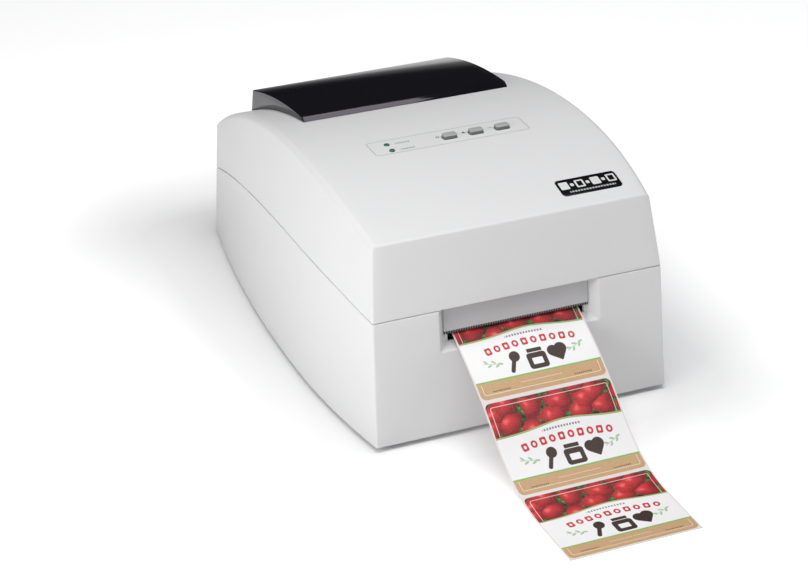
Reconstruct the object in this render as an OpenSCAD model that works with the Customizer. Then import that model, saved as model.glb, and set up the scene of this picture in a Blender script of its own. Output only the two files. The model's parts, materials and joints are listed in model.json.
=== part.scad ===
// Desktop colour label printer with a roll bay, a guillotine cutter and a strip of printed labels.
// Lengths are in millimetres. +Z is up, the printer faces -Y, and the table is at z = 0.
// Every module below is drawn with y = 0 at the foot of the front face; placed() moves it so that
// the origin is the centre of the whole footprint, label strip included.

/* [Body] */
// Width of the front face at its foot
front_w = 240; // [236:1:244]
// Widest part of the body at its foot
body_w = 264; // [262:1:268]
// Width of the rear face at its foot
rear_w = 215; // [211:1:219]
// Depth of the body
body_d = 388; // [386:1:392]
// Height of the crest of the top cover
body_h = 175; // [174:1:178]
// Height of the rubber feet
foot_h = 4; // [4:0.5:5]
// Wall thickness of the moulded shells
wall = 2.5; // [2:0.1:2.6]
// Height of the seam between housing and cover at the front
seam_z = 101; // [100:0.5:102]
// Gap along that seam
seam_gap = 0.6; // [0.4:0.1:0.8]

/* [Window] */
// Half width of the smoked window
window_hw = 88; // [86:1:90]
// Thickness of the window
window_t = 2.2; // [1.8:0.1:2.4]

/* [Controls] */
// Half width of the control panel
panel_hw = 64.4; // [62:0.2:66]
// Travel of each push button
button_travel = 1.2; // [0.8:0.1:1.3]

/* [Labels] */
// Width of the label liner
liner_w = 104; // [103:0.5:105]
// Width of a label
label_w = 101.6; // [100:0.2:102]
// Outer radius of the label roll
roll_r = 56; // [54:0.5:57]
// Inner radius of the roll's card core
core_r = 25.4; // [25:0.1:26]

/* [Mechanism] */
// Rest position of the ink carriage along x
park_x = 74; // [70:1:76]
// Radius of the carriage rod
rod_r = 4; // [3.5:0.1:4.2]
// Module of the gears and of the cutter rack
gear_m = 0.8; // [0.8:0.1:0.9]
// Play between a shaft and its bore, on the radius
play = 0.06; // [0.02:0.01:0.09]

/* [Hidden] */
$fn = 64;
fine = 360;
big = 300;
eps = 0.01;

// Body outline: bowed sides that meet at the widest station, drafted in two stages
widest_y = 130;
side_draft = 2.5;
cover_draft = 8;
front_lean = 7;
cover_lean = 14;
front_bow_r = bow_radius(widest_y, (body_w - front_w) / 2);
rear_bow_r = bow_radius(body_d - widest_y, (body_w - rear_w) / 2);
crest_y = 150;
crown_r = 430;
seam_y = (seam_z - foot_h) * tan(front_lean);
rear_seam_z = 61;
seam_crest = [120, 108.6];
seam_flat_y = 12;

// Exit recess, measured from the front face inwards and up along it
recess_hw = 65.5;
recess_back_hw = 59.3;
recess_low = 65.2;
recess_d = 8.5;
slot_low = 69.5;
slot_high = 76.2;
slot_hw = 56;

// Window: its top is an arc, and its front and rear faces slope
dome_r = 413;
dome_c = [202, -240];
dome_sides = [[211.7, 164], [250, 185.4], [331, 182], [343.5, 125], [211.7, 125]];

// Control panel, buttons and lamps
panel_y = [130.4, 154];
panel_t = 0.8;
panel_r = 3;
button_x = [0, 22.1, 44.2];
button_y = 140.2;
button_size = [11.5, 7];
button_r = 2;
button_gap = 0.3;
lamp_at = [[-49.8, 145.6], [-49.8, 134.9]];
lamp_r = 2.2;
board_top = 167.6;

// Cover hinge
hinge_y = body_d + 3.7;
hinge_z = rear_seam_z;
knuckle_r = 3.5;
hinge_pin_r = 1.5;
hinge_x = 80;

// Print mechanism, as (y, z) of each axis along x
rod_at = [104, 112];
feed_at = [112, 77.75];
pinch_at = [112, 91.9];
web_z = 86.2;
plate_x = 107.25;
plate_t = 1.5;
belt_y = [114.5, 119.5];
belt_r = 6;
belt_t = 1.2;
pulley_x = 95;
feed_teeth = 36;
pinion_teeth = 12;
cutter_teeth = 12;
feed_r = 8;
blade_y = [29.5, 30.5];
pinion_z = 88;
rack_x = -66;

// Label path, in steps from the platen: straight over it, down through the slot and onto the table.
// The web ends under the blade and the printed strip starts there, part way into its first label.
liner_t = 0.3;
label_t = 0.12;
path_step = 25.4 / 16;
label_steps = 48;
gap_steps = 2;
first_label = 15.8;
strip_start = 18.7;
strip_end = 165;
platen_y = 58;
dive_r = 90;
dive_a = 27;
dive_run = 15;
hang_r = 300;
hang_a = 39;
land_r = 110;
hang_run = (web_z - liner_t / 2 - 0.05 - dive_r * (1 - cos(dive_a)) - dive_run * sin(dive_a)
    - hang_r * (cos(dive_a) - cos(hang_a)) - land_r * (1 - cos(hang_a))) / sin(hang_a);
s_dive = arc_length(dive_r, dive_a);
s_hang = s_dive + dive_run;
s_fall = s_hang + arc_length(hang_r, hang_a - dive_a);
s_land = s_fall + hang_run;
s_flat = s_land + arc_length(land_r, hang_a);
slope_table = [[0, 0], [s_dive, dive_a], [s_hang, dive_a], [s_fall, hang_a], [s_land, hang_a],
    [s_flat, 0], [1000, 0]];
rise_a = 17.3;
rise_r = 30;
rise_y = 125;
rise_table = [[0, 0], [rise_y - platen_y, 0], [rise_y - platen_y + arc_length(rise_r, rise_a), rise_a],
    [1000, rise_a]];
path_out = [for (i = 0, p = [platen_y, web_z]; i <= strip_end;
    a = lookup((i + 0.5) * path_step, slope_table), p = p + path_step * [-cos(a), -sin(a)], i = i + 1) p];
path_back = [for (i = 0, p = [platen_y, web_z]; i <= 140;
    a = lookup((i + 0.5) * path_step, rise_table), p = p + path_step * [cos(a), -sin(a)], i = i + 1) p];

// Label roll: its lower front is tangent to the rising web
roll_y = 282;
rise_from = [rise_y + rise_r * sin(rise_a), web_z - rise_r * (1 - cos(rise_a))];
roll_z = rise_from[1] - (roll_y - rise_from[0]) * tan(rise_a) + (roll_r + 0.5) / cos(rise_a);
core_t = 2.6;

shift_y = -(path_out[strip_end][0] + hinge_y + knuckle_r) / 2;
foot_at = [[-95, 25], [95, 25], [-88, 360], [88, 360]];
board_at = [[-88, 312], [36, 312], [-88, 379], [36, 379]];

function bow_radius(run, rise) = (run * run + rise * rise) / (2 * rise);
function arc_length(r, a) = r * a * PI / 180;

// A point of the label path, i steps from the platen (negative towards the roll), h above its middle
function path_at(i, h) =
    let (list = i < 0 ? path_back : path_out, k = abs(i), j = min(floor(k), len(list) - 2),
        d = (list[j + 1] - list[j]) * (i < 0 ? -1 : 1), n = [d[1], -d[0]] / norm(d))
    list[j] + (list[j + 1] - list[j]) * (k - j) + n * h;
function path_band(i0, i1, low, high) =
    let (steps = [i0, each [for (i = [ceil(i0 + eps) : floor(i1 - eps)]) i], i1], n = len(steps))
    [for (k = [0 : n - 1]) path_at(steps[k], high), for (k = [n - 1 : -1 : 0]) path_at(steps[k], low)];

// One involute gear tooth as points, then a whole gear
function flank_half(rho, base, pitch, half) =
    let (a = acos(min(1, base / max(rho, base))), b = acos(base / pitch))
    half + (tan(b) - tan(a)) * 180 / PI - b + a;
function gear_points(teeth, m, aim) =
    let (pitch = m * teeth / 2, base = pitch * cos(20), root = pitch - m, tip = pitch + 0.75 * m,
        half = 90 / teeth - 0.125 / pitch * 180 / PI,
        rhos = [root, each [for (k = [0 : 4]) max(root, base) + (tip - max(root, base)) * k / 4]])
    [for (t = [0 : teeth - 1], side = [-1, 1], k = [0 : 5])
        let (rho = rhos[side < 0 ? k : 5 - k], a = aim + t * 360 / teeth
            + side * flank_half(rho, base, pitch, half)) rho * [cos(a), sin(a)]];

module placed() {
    translate([0, shift_y, 0]) children();
}

// Draws a (y, z) outline as a bar of width w along x, centred on x = 0
module across(w) {
    translate([-w / 2, 0, 0]) rotate([90, 0, 90]) linear_extrude(w) children();
}

// Draws an (x, z) outline between two values of y
module along_y(y0, y1) {
    translate([0, y1, 0]) rotate([90, 0, 0]) linear_extrude(y1 - y0) children();
}

module block(low, high) {
    translate(low) cube(high - low);
}

module rod_x(r, x0, x1, at) {
    translate([x0, at[0], at[1]]) rotate([0, 90, 0]) cylinder(r = r, h = x1 - x0);
}

module rod_y(r, y0, y1, at) {
    translate([at[0], y0, at[1]]) rotate([-90, 0, 0]) cylinder(r = r, h = y1 - y0);
}

module rounded_plate(x0, x1, y0, y1, r) {
    translate([x0 + r, y0]) square([x1 - x0 - 2 * r, y1 - y0]);
    translate([x0, y0 + r]) square([x1 - x0, y1 - y0 - 2 * r]);
    for (x = [x0 + r, x1 - r], y = [y0 + r, y1 - r]) translate([x, y]) circle(r);
}

// One bowed side wall, as the inside of a cone with two drafts
module side_cone(side, r, inset, low) {
    top = 200;
    r_foot = r - inset - (low - foot_h) * tan(side_draft);
    r_seam = r - inset - (seam_z - foot_h) * tan(side_draft);
    translate([side * (body_w / 2 - r), widest_y, 0]) {
        translate([0, 0, low]) cylinder(h = seam_z - low, r1 = r_foot, r2 = r_seam, $fn = fine);
        translate([0, 0, seam_z])
            cylinder(h = top - seam_z, r1 = r_seam, r2 = r_seam - (top - seam_z) * tan(cover_draft),
                $fn = fine);
    }
}

module bowed_stretch(r, inset, low, y0, y1) {
    intersection() {
        block([-big, y0, low], [big, y1, big]);
        side_cone(1, r, inset, low);
        side_cone(-1, r, inset, low);
    }
}

module crown(inset) {
    rod_x(crown_r - inset, -big, big, [crest_y, body_h - crown_r], $fn = 2 * fine);
}

// The whole outside of the body, or the same shape inset from it
module envelope(inset = 0, low = foot_h) {
    high = 200;
    intersection() {
        union() {
            bowed_stretch(front_bow_r, inset, low, -10, widest_y);
            bowed_stretch(rear_bow_r, inset, low, widest_y, body_d + 10);
        }
        across(2 * big) polygon([
            [(low - foot_h) * tan(front_lean) + inset, low], [seam_y + inset, seam_z],
            [seam_y + inset + (high - seam_z) * tan(cover_lean), high],
            [body_d - inset, high], [body_d - inset, low]
        ]);
        crown(inset);
    }
}

// The seam as seen from the side: flat along the front, arched over its crest, then down to the rear
function seam_point(y, lift) = [y, lift + seam_crest[1] - (y < seam_crest[0] ?
    (seam_crest[1] - seam_z) * pow((seam_crest[0] - y) / (seam_crest[0] - seam_flat_y), 2) :
    (seam_crest[1] - rear_seam_z) * pow((y - seam_crest[0]) / (body_d - seam_crest[0]), 2.3))];

// Everything on one side of the seam
module seam_side(above) {
    far = above ? big : -20;
    lift = above ? seam_gap : 0;
    across(2 * big) polygon([
        [-20, far], [-20, seam_z + lift],
        each [for (k = [0 : 9]) seam_point(seam_flat_y + (seam_crest[0] - seam_flat_y) * k / 9, lift)],
        each [for (k = [1 : 22]) seam_point(seam_crest[0] + (body_d - seam_crest[0]) * k / 22, lift)],
        [body_d + 20, rear_seam_z + lift], [body_d + 20, far]
    ]);
}

// Children are drawn with y = depth behind the front face and z = height up along it
module on_front_face() {
    translate([0, 0, foot_h]) rotate([-front_lean, 0, 0]) children();
}

module lower_housing() placed() color("whitesmoke") {
    difference() {
        union() {
            difference() {
                intersection() {
                    envelope();
                    seam_side(false);
                }
                envelope(wall, foot_h - 2);
            }
            intersection() {
                on_front_face() block([-70, 0.5, 60], [70, recess_d + wall, 110]);
                envelope(1);
                seam_side(false);
            }
        }
        on_front_face() intersection() {
            slope = (recess_hw - recess_back_hw) / recess_d;
            linear_extrude(120) polygon([
                [-recess_hw - 10 * slope, -10], [recess_hw + 10 * slope, -10],
                [recess_back_hw, recess_d], [-recess_back_hw, recess_d]
            ]);
            across(2 * big) polygon([
                [-11, recess_low], [0, recess_low], [recess_d + 1, slot_low], [recess_d + 1, 130], [-11, 130]
            ]);
        }
        on_front_face() block([-slot_hw, 1, slot_low], [slot_hw, 20, slot_high]);
        block([-57, body_d - 10, 46], [57, body_d + 10, 54]);
        block([-73.3, body_d - 10, 11.3], [-60.7, body_d + 10, 23.3]);
        block([-50.3, body_d - 10, 11.3], [-37.7, body_d + 10, 23.3]);
    }
}

module exit_panel() placed() color("darkgray") on_front_face() {
    hw = 59;
    top = 96.8;
    tooth = 2;
    foot = slot_high - 0.4;
    notch = 0.9;
    along_y(7, recess_d) polygon([
        [hw, top], [-hw, top],
        for (k = [0 : 2 * hw / tooth - 1], end = [0, 1]) [-hw + (k + end / 2) * tooth, foot + notch * end],
        [hw, foot]
    ]);
}

module base_pan() placed() color("silver") {
    difference() {
        intersection() {
            envelope(wall + 0.3);
            block([-big, -10, foot_h], [big, big * 2, foot_h + 1.2]);
        }
        for (at = foot_at) translate([at[0], at[1], 0]) cylinder(r = 1.6, h = 20);
        for (k = [-3 : 3]) block([k * 14 - 4, 180, 0], [k * 14 + 4, 182, 20]);
    }
}

module rubber_feet() placed() color("dimgray") {
    for (at = foot_at) translate([at[0], at[1], 0]) difference() {
        cylinder(r1 = 8.5, r2 = 9.5, h = foot_h);
        cylinder(r = 1.6, h = 20);
        translate([0, 0, -1]) cylinder(r = 3.3, h = 2.6);
    }
}

// M3 machine screw, head down, with the underside of its head at z = 0
module screw() {
    difference() {
        translate([0, 0, -1.2]) cylinder(r = 2.8, h = 1.2);
        translate([0, 0, -2]) cylinder(r = 1.2, h = 1.5, $fn = 6);
    }
    translate([0, 0, -eps]) cylinder(r = 1.5, h = 6.4);
}

module base_screws() placed() color("gray") {
    for (at = foot_at) translate([at[0], at[1], 1.6]) screw();
    for (at = board_at) translate([at[0], at[1], 11.6]) mirror([0, 0, 1]) screw();
}

module side_plate(side) {
    difference() {
        translate([side * (plate_x + plate_t / 2), 0, 0]) across(plate_t) polygon([
            [27, foot_h + 1.2], [27, 108], [36, 134], [120, 134], [140, 118], [150, 60], [150, foot_h + 1.2]
        ]);
        rod_x(rod_r + play, -big, big, rod_at);
        rod_x(5, -big, big, feed_at);
        if (side < 0) rod_x(3, -big, big, pinion_at());
        across(2 * big) rounded_plate(44, 78, 24, 52, 8);
        across(2 * big) rounded_plate(112, 138, 24, 52, 8);
    }
}

// Centre of the feed motor, in front of and below the feed roller
function pinion_at() = feed_at - gear_m * (feed_teeth + pinion_teeth) / 2 * [cos(45), sin(45)];

module left_side_plate() placed() color("silver") side_plate(-1);

module right_side_plate() placed() color("silver") side_plate(1);

module rear_crossbar() placed() color("silver") {
    difference() {
        union() {
            block([-plate_x, 122, 94], [plate_x, 123.5, 130]);
            block([-plate_x, 123.5, 128.5], [plate_x, 134, 130]);
            rod_y(2, 114, 122.5, [-pulley_x, rod_at[1]]);
        }
        rod_y(2.2, 100, 140, [pulley_x, rod_at[1]]);
        for (x = [-60, -30, 0, 30, 60]) rod_y(4, 100, 140, [x, 112]);
    }
}

module carriage_rod() placed() color("lightgray") rod_x(rod_r, -plate_x - 3, plate_x + 3, rod_at);

module carriage_rail() placed() color("silver") {
    block([-plate_x, 35, 112], [plate_x, 36.5, 126]);
    block([-plate_x, 36.5, 112], [plate_x, 42, 113.5]);
}

module encoder_strip() placed() color("lightslategray")
    block([-plate_x, 103.85, 121], [plate_x, 104.15, 130]);

module platen() placed() color("dimgray") {
    block([-60, 56, 70], [60, 76, 82]);
    for (x = [-57 : 6 : 57]) block([x - 0.8, 57, 82], [x + 0.8, 75, web_z - 0.5]);
}

module exit_guide() placed() color("dimgray") {
    across(2 * slot_hw) polygon([
        [23, 70], each [for (i = [22 : -1 : 20]) path_at(i, -1.2)], path_at(19, -1.2), [27.6, 70]
    ]);
    across(2 * slot_hw) polygon([
        [36, 70], path_at(14, -1.2), each [for (i = [13 : -1 : 3]) path_at(i, -1.2)], [54, 70]
    ]);
}

module cutter_bed() placed() color("gray") {
    across(116) polygon([[31, 66], [31, 79.6], [34.5, 81.4], [35.4, 81.4], [35.4, 66]]);
}

module blade_guides() placed() color("dimgray") {
    for (x = [-60, 60]) {
        block([x - 2.2, 27.4, 72], [x + 2.2, 29.1, 106]);
        block([x - 2.2, 30.9, 84], [x + 2.2, 32.6, 106]);
        block([x - 2.2, 29.1, 104], [x + 2.2, 30.9, 106]);
    }
}

// Teeth of the cutter rack, down its left edge
module cutter_blade() placed() color("lightgray") {
    pitch = PI * gear_m;
    thick = pitch / 2 - 0.25;
    run = gear_m * tan(20);
    along_y(blade_y[0], blade_y[1]) union() {
        polygon([
            [-64, 84.5], [64, 81.5], [64, 98], [-60, 98], [-60, 103.5], [-65, 103.5], [-65, 81], [-64, 81]
        ]);
        for (k = [-2 : 5]) translate([0, pinion_z + k * pitch]) polygon([
            [-64.9, -thick / 2 - run * 0.9], [-64.9, thick / 2 + run * 0.9],
            [rack_x - 0.75 * gear_m, thick / 2 - run * 0.75], [rack_x - 0.75 * gear_m, run * 0.75 - thick / 2]
        ]);
    }
}

module cutter_motor() placed() color("dimgray") {
    at = [rack_x - gear_m * cutter_teeth / 2, pinion_z];
    difference() {
        union() {
            rod_y(8.5, 34, 43.2, at);
            rod_y(4, 32.6, 34, at);
        }
        rod_y(1 + play, 30, 44, at);
    }
}

module cutter_pinion() placed() color("goldenrod") {
    at = [rack_x - gear_m * cutter_teeth / 2, pinion_z];
    translate([at[0], 0, at[1]]) along_y(29.2, 31)
        polygon(gear_points(cutter_teeth, gear_m, 180 / cutter_teeth));
    rod_y(1, 30.9, 43, at);
}

module web_tray() placed() color("gainsboro") {
    translate([0, rise_from[0] + 4, rise_from[1] - 2.2]) rotate([-rise_a, 0, 0]) {
        block([-56, 0, -1.6], [56, 84, 0]);
        for (x = [-56, 54.4]) block([x, 0, 0], [x + 1.6, 84, 5]);
    }
}

module label_sensor() placed() color("darkslategray") {
    block([40, 127, 72], [52, 133, 84]);
    block([40, 127, 89], [58, 133, 93]);
    block([54, 127, 72], [58, 133, 89]);
    block([52, 127, 72], [54, 133, 76]);
}

module pinch_holder() placed() color("dimgray") {
    difference() {
        union() {
            block([-52, 106, 97.6], [52, 122, 100]);
            for (x = [-49, -17, 17, 49]) block([x - 1.5, 108, 89.3], [x + 1.5, 116, 97.6]);
        }
        rod_x(1.5 + play, -big, big, pinch_at);
    }
}

module feed_bushes() placed() color("goldenrod") {
    for (x = [-plate_x - plate_t - 0.6, plate_x - 1]) difference() {
        rod_x(5, x, x + 3.1, feed_at);
        rod_x(3 + play, x - 1, x + 5, feed_at);
    }
}

module feed_motor() placed() color("gray") {
    difference() {
        rod_x(14, -plate_x + 0.02, -82, pinion_at());
        rod_x(1.2 + play, -big, -90, pinion_at());
    }
}

module carriage_motor() placed() color("gray") {
    difference() {
        rod_y(14, 123.5, 152, [pulley_x - 3, rod_at[1] - 1]);
        rod_y(1.2 + play, 120, 140, [pulley_x, rod_at[1]]);
        block([60, 120, 128], [120, 136, 132]);
    }
}

module pill(r, y0, y1) {
    rod_y(r, y0, y1, [-pulley_x, rod_at[1]]);
    rod_y(r, y0, y1, [pulley_x, rod_at[1]]);
    block([-pulley_x, y0, rod_at[1] - r], [pulley_x, y1, rod_at[1] + r]);
}

module timing_belt() placed() color("black") difference() {
    pill(belt_r + belt_t, belt_y[0], belt_y[1]);
    pill(belt_r, belt_y[0] - 1, belt_y[1] + 1);
}

module capping_station() placed() color("darkslategray") {
    block([66, 50, 62], [96, 78, 78]);
    for (y = [52, 70]) block([68, y, 78], [94, y + 2, 83]);
    for (x = [68, 92]) block([x, 54, 78], [x + 2, 70, 83]);
    block([66, 46, foot_h + 1.2], [70, 50, 78]);
    block([92, 46, foot_h + 1.2], [96, 50, 78]);
}

module main_board() placed() color("seagreen") {
    difference() {
        block([-92, 308, 10], [40, 383, 11.6]);
        for (at = board_at) translate([at[0], at[1], 0]) cylinder(r = 1.6, h = 30);
    }
    block([-30, 325, 11.6], [-8, 347, 13.6]);
    block([2, 322, 11.6], [16, 340, 13.2]);
    block([-70, 322, 11.6], [-50, 330, 22]);
    for (x = [-80, -66]) translate([x, 345, 11.6]) cylinder(r = 5, h = 16);
    for (x = [0, 12, 24]) translate([x, 362, 11.6]) cylinder(r = 3, h = 8);
}

module dc_inlet() placed() color("black") {
    at = [-67, 17.5];
    difference() {
        block([at[0] - 5.5, 374, 11.6], [at[0] + 5.5, body_d - 0.5, 23]);
        rod_y(3.2, 377, body_d + 1, at);
    }
    rod_y(1.05, 376, body_d - 1, at);
}

module usb_socket() placed() color("silver") {
    at = [-44, 17.4];
    difference() {
        block([at[0] - 6, 370, 11.6], [at[0] + 6, body_d - 0.5, 23.1]);
        block([at[0] - 4.2, 373, at[1] - 3.9], [at[0] + 4.2, body_d + 1, at[1] + 3.9]);
    }
    block([at[0] - 2.8, 371, at[1] - 1.6], [at[0] + 2.8, body_d - 1.5, at[1] + 1.6]);
}

// A roll guide: a disc that flanks the roll, a hub inside the core, and a foot
module guide_body(rail_notch) {
    difference() {
        union() {
            rod_x(36, -57.5, -52.6, [roll_y, roll_z]);
            rod_x(core_r - 0.08, -53, -42, [roll_y, roll_z]);
            block([-57.5, roll_y - 20, foot_h + 1.5], [-52.6, roll_y + 20, roll_z]);
            block([-66, roll_y - 20, foot_h + 1.5], [-52.6, roll_y + 20, 14]);
        }
        rod_x(core_r - 3, -60, -40, [roll_y, roll_z]);
        if (rail_notch) block([-70, roll_y - 8.3, 0], [-40, roll_y + 8.3, 9.5]);
    }
}

module fixed_roll_guide() placed() color("lightsteelblue") guide_body(false);

module sliding_roll_guide() placed() color("lightsteelblue") mirror([1, 0, 0]) guide_body(true);

module guide_rail() placed() color("silver")
    block([-50, roll_y - 8, foot_h + 1.2], [92, roll_y + 8, 9.2]);

// Knuckles along x at the cover hinge, each with its bore
module knuckles(spans) {
    for (side = [-1, 1], span = spans) difference() {
        rod_x(knuckle_r, side * hinge_x + span[0], side * hinge_x + span[1], [hinge_y, hinge_z]);
        rod_x(hinge_pin_r + play, -big, big, [hinge_y, hinge_z]);
    }
}

module base_hinge_leaves() placed() color("silver") {
    knuckles([[-12, -4.3], [4.3, 12]]);
    for (side = [-1, 1]) difference() {
        union() {
            block([side * hinge_x - 12, body_d, 42], [side * hinge_x + 12, body_d + 1.2, 56]);
            for (x = [-12, 4.3])
                block([side * hinge_x + x, body_d, 56], [side * hinge_x + x + 7.7, body_d + 1.2, hinge_z]);
        }
        rod_x(hinge_pin_r + play, -big, big, [hinge_y, hinge_z]);
    }
}

module cover_hinge_leaves() placed() color("silver") {
    knuckles([[-4, 4]]);
    for (side = [-1, 1]) {
        block([side * hinge_x - 4, body_d, hinge_z], [side * hinge_x + 4, body_d + 1.2, 66]);
        block([side * hinge_x - 12, body_d, 66], [side * hinge_x + 12, body_d + 1.2, 80]);
    }
}

module hinge_pins() placed() color("lightgray")
    for (side = [-1, 1]) rod_x(hinge_pin_r, side * hinge_x - 12.5, side * hinge_x + 12.5, [hinge_y, hinge_z]);

module label_web() placed() color("ivory")
    across(liner_w) polygon(path_band(-134, 17.5, -liner_t / 2, liner_t / 2));

module blank_labels() placed() color("white") {
    pitch = label_steps + gap_steps;
    for (k = [1 : 3]) across(label_w) polygon(path_band(max(first_label - k * pitch, -131),
        first_label - k * pitch + label_steps, liner_t / 2, liner_t / 2 + label_t));
}

module printed_strip() placed() color("ivory")
    across(liner_w) polygon(path_band(strip_start, strip_end, -liner_t / 2, liner_t / 2));

module printed_labels() placed() color("firebrick") {
    pitch = label_steps + gap_steps;
    for (k = [0 : 2]) across(label_w) polygon(path_band(max(strip_start + 0.3, first_label + k * pitch),
        first_label + k * pitch + label_steps, liner_t / 2, liner_t / 2 + label_t));
}

module button_hole(x, grow) {
    linear_extrude(big) rounded_plate(x - button_size[0] / 2 - grow, x + button_size[0] / 2 + grow,
        button_y - button_size[1] / 2 - grow, button_y + button_size[1] / 2 + grow, button_r);
}

module lamp_shape(grow, z0, z1) {
    for (at = lamp_at) translate([at[0], at[1], z0]) cylinder(r = lamp_r + grow, h = z1 - z0);
}

module panel_outline(grow) {
    rounded_plate(-panel_hw - grow, panel_hw + grow, panel_y[0] - grow, panel_y[1] + grow, panel_r);
}

module badge_outline(grow) {
    rounded_plate(47.6 - grow, 97.4 + grow, 38.6 - grow, 56.8 + grow, 3);
}

module board_posts() {
    for (x = [-54, 58], y = [135, 149]) translate([x, y, 0]) children();
}

module top_cover() placed() color("whitesmoke") {
    difference() {
        union() {
            difference() {
                intersection() {
                    envelope();
                    seam_side(true);
                }
                envelope(wall);
            }
            board_posts() translate([0, 0, board_top]) cylinder(r = 3.2, h = body_h - board_top - 1.5);
        }
        block([-window_hw + 6, 228, 100], [window_hw - 6, 332, big]);
        difference() {
            translate([0, 0, 150]) linear_extrude(50) panel_outline(0.15);
            crown(panel_t);
        }
        difference() {
            translate([0, 0, 120]) linear_extrude(80) badge_outline(0.15);
            crown(0.9);
        }
        for (x = button_x) button_hole(x, button_gap);
        lamp_shape(0.15, 160, 190);
        board_posts() translate([0, 0, 150]) cylinder(r = 1.2, h = 23);
    }
}

module window_shape(inset) {
    intersection() {
        rod_x(dome_r - inset, -window_hw + inset, window_hw - inset, dome_c, $fn = 2 * fine);
        translate([0, 0, -inset / 2]) across(2 * big) polygon([
            dome_sides[0] + [inset, 0], dome_sides[1] + [inset, 0], dome_sides[2] - [inset, 0],
            dome_sides[3] - [inset, 0], dome_sides[3] - [inset, 40], dome_sides[4] + [inset, -40]
        ]);
    }
}

module window() placed() color([0.1, 0.09, 0.12, 0.8]) difference() {
    window_shape(0);
    window_shape(window_t);
    crown(-0.02);
}

module panel_overlay() placed() color("gainsboro") difference() {
    intersection() {
        translate([0, 0, 150]) linear_extrude(50) panel_outline(0);
        crown(0);
    }
    crown(panel_t);
    for (x = button_x) button_hole(x, button_gap);
    lamp_shape(0.15, 160, 190);
}

module lamp_lenses() placed() color("darkgreen") lamp_shape(0, board_top + 2, body_h + 1);

module badge_plate() placed() color("black") difference() {
    intersection() {
        translate([0, 0, 120]) linear_extrude(80) badge_outline(0);
        crown(-0.3);
    }
    crown(0.9);
}

module button_board() placed() color("seagreen") {
    difference() {
        block([-58, 131, board_top - 1.6], [62, 153, board_top]);
        board_posts() cylinder(r = 1.6, h = big);
    }
    for (x = button_x) {
        block([x - 3, button_y - 3, board_top], [x + 3, button_y + 3, board_top + 1]);
        translate([x, button_y, board_top + 1]) cylinder(r = 1.7, h = 0.5);
    }
}

module button_board_screws() placed() color("gray") board_posts() {
    translate([0, 0, board_top - 3.2]) cylinder(r = 2.6, h = 1.6);
    translate([0, 0, board_top - 1.6]) cylinder(r = 1.15, h = 5.5);
}

module push_button(x) {
    seat = board_top + 1.5 + button_travel + 0.1;
    translate([0, 0, seat]) linear_extrude(body_h + 3 - seat)
        rounded_plate(x - button_size[0] / 2, x + button_size[0] / 2,
            button_y - button_size[1] / 2, button_y + button_size[1] / 2, button_r);
    translate([0, 0, seat]) linear_extrude(body_h - wall - 0.6 - seat)
        rounded_plate(x - button_size[0] / 2 - 1, x + button_size[0] / 2 + 1,
            button_y - button_size[1] / 2 - 1, button_y + button_size[1] / 2 + 1, 2);
}

module pause_button() placed() color("darkgray") push_button(button_x[0]);

module feed_button() placed() color("darkgray") push_button(button_x[1]);

module cut_button() placed() color("darkgray") push_button(button_x[2]);

module carriage() placed() color("dimgray") translate([park_x, 0, 0]) {
    difference() {
        union() {
            block([-22, 96, 102], [22, 112, 118.5]);
            block([-19, 44, 93], [19, 96, 128]);
            block([-10, 33, 120], [10, 44, 130]);
            block([-6, 112, 100.6], [6, 120.5, 109.5]);
        }
        block([-16.2, 46.2, 96], [16.2, 92, 140]);
        block([-11, 50, 90], [11, 76, 97]);
        rod_x(5.5, -30, 30, rod_at);
        block([-30, 34.5, 110], [30, 37, 126.4]);
        block([-30, 114.1, 104.3], [30, 130, 106.5]);
    }
    difference() {
        block([-7, 98.5, 118.5], [7, 109.5, 131]);
        block([-10, 102.9, 120], [10, 105.1, 140]);
    }
}

module carriage_bushes() placed() color("goldenrod") translate([park_x, 0, 0])
    for (x = [-22, 14]) difference() {
        rod_x(5.5, x, x + 8, rod_at);
        rod_x(rod_r + play, x - 1, x + 9, rod_at);
    }

module ink_cartridge() placed() color("black") translate([park_x, 0, 0]) {
    block([-15.7, 46.7, 98], [15.7, 91.5, 133]);
    block([-10, 51, 88.4], [10, 75, 98]);
    block([-12, 50, 133], [12, 60, 137]);
}

module drive_pulley() placed() color("gray") {
    at = [pulley_x, rod_at[1]];
    rod_y(belt_r - 0.2, belt_y[0] - 0.4, belt_y[1] + 0.4, at);
    rod_y(belt_r + 1.6, belt_y[0] - 1.4, belt_y[0] - 0.4, at);
    rod_y(belt_r + 1.6, belt_y[1] + 0.4, belt_y[1] + 1.4, at);
    rod_y(1.2, 120, 138, at);
}

module idler_pulley() placed() color("white") {
    at = [-pulley_x, rod_at[1]];
    difference() {
        union() {
            rod_y(belt_r - 0.2, belt_y[0] - 0.4, belt_y[1] + 0.4, at);
            rod_y(belt_r + 1.6, belt_y[0] - 1.4, belt_y[0] - 0.4, at);
            rod_y(belt_r + 1.6, belt_y[1] + 0.4, belt_y[1] + 1.4, at);
        }
        rod_y(2 + play, 100, 140, at);
    }
}

module feed_roller() placed() color("black") {
    rod_x(3, -plate_x - 9, plate_x + 3, feed_at);
    for (x = [-34, 0, 34]) rod_x(feed_r, x - 12, x + 12, feed_at);
}

module feed_gear() placed() color("ivory") {
    x0 = -plate_x - 8;
    difference() {
        translate([x0, feed_at[0], feed_at[1]]) rotate([90, 0, 90])
            linear_extrude(4) polygon(gear_points(feed_teeth, gear_m, 225));
        rod_x(3, -big, big, feed_at);
        for (k = [0 : 5]) rod_x(2.4, -big, big, feed_at + 8.6 * [cos(60 * k), sin(60 * k)]);
    }
}

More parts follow.
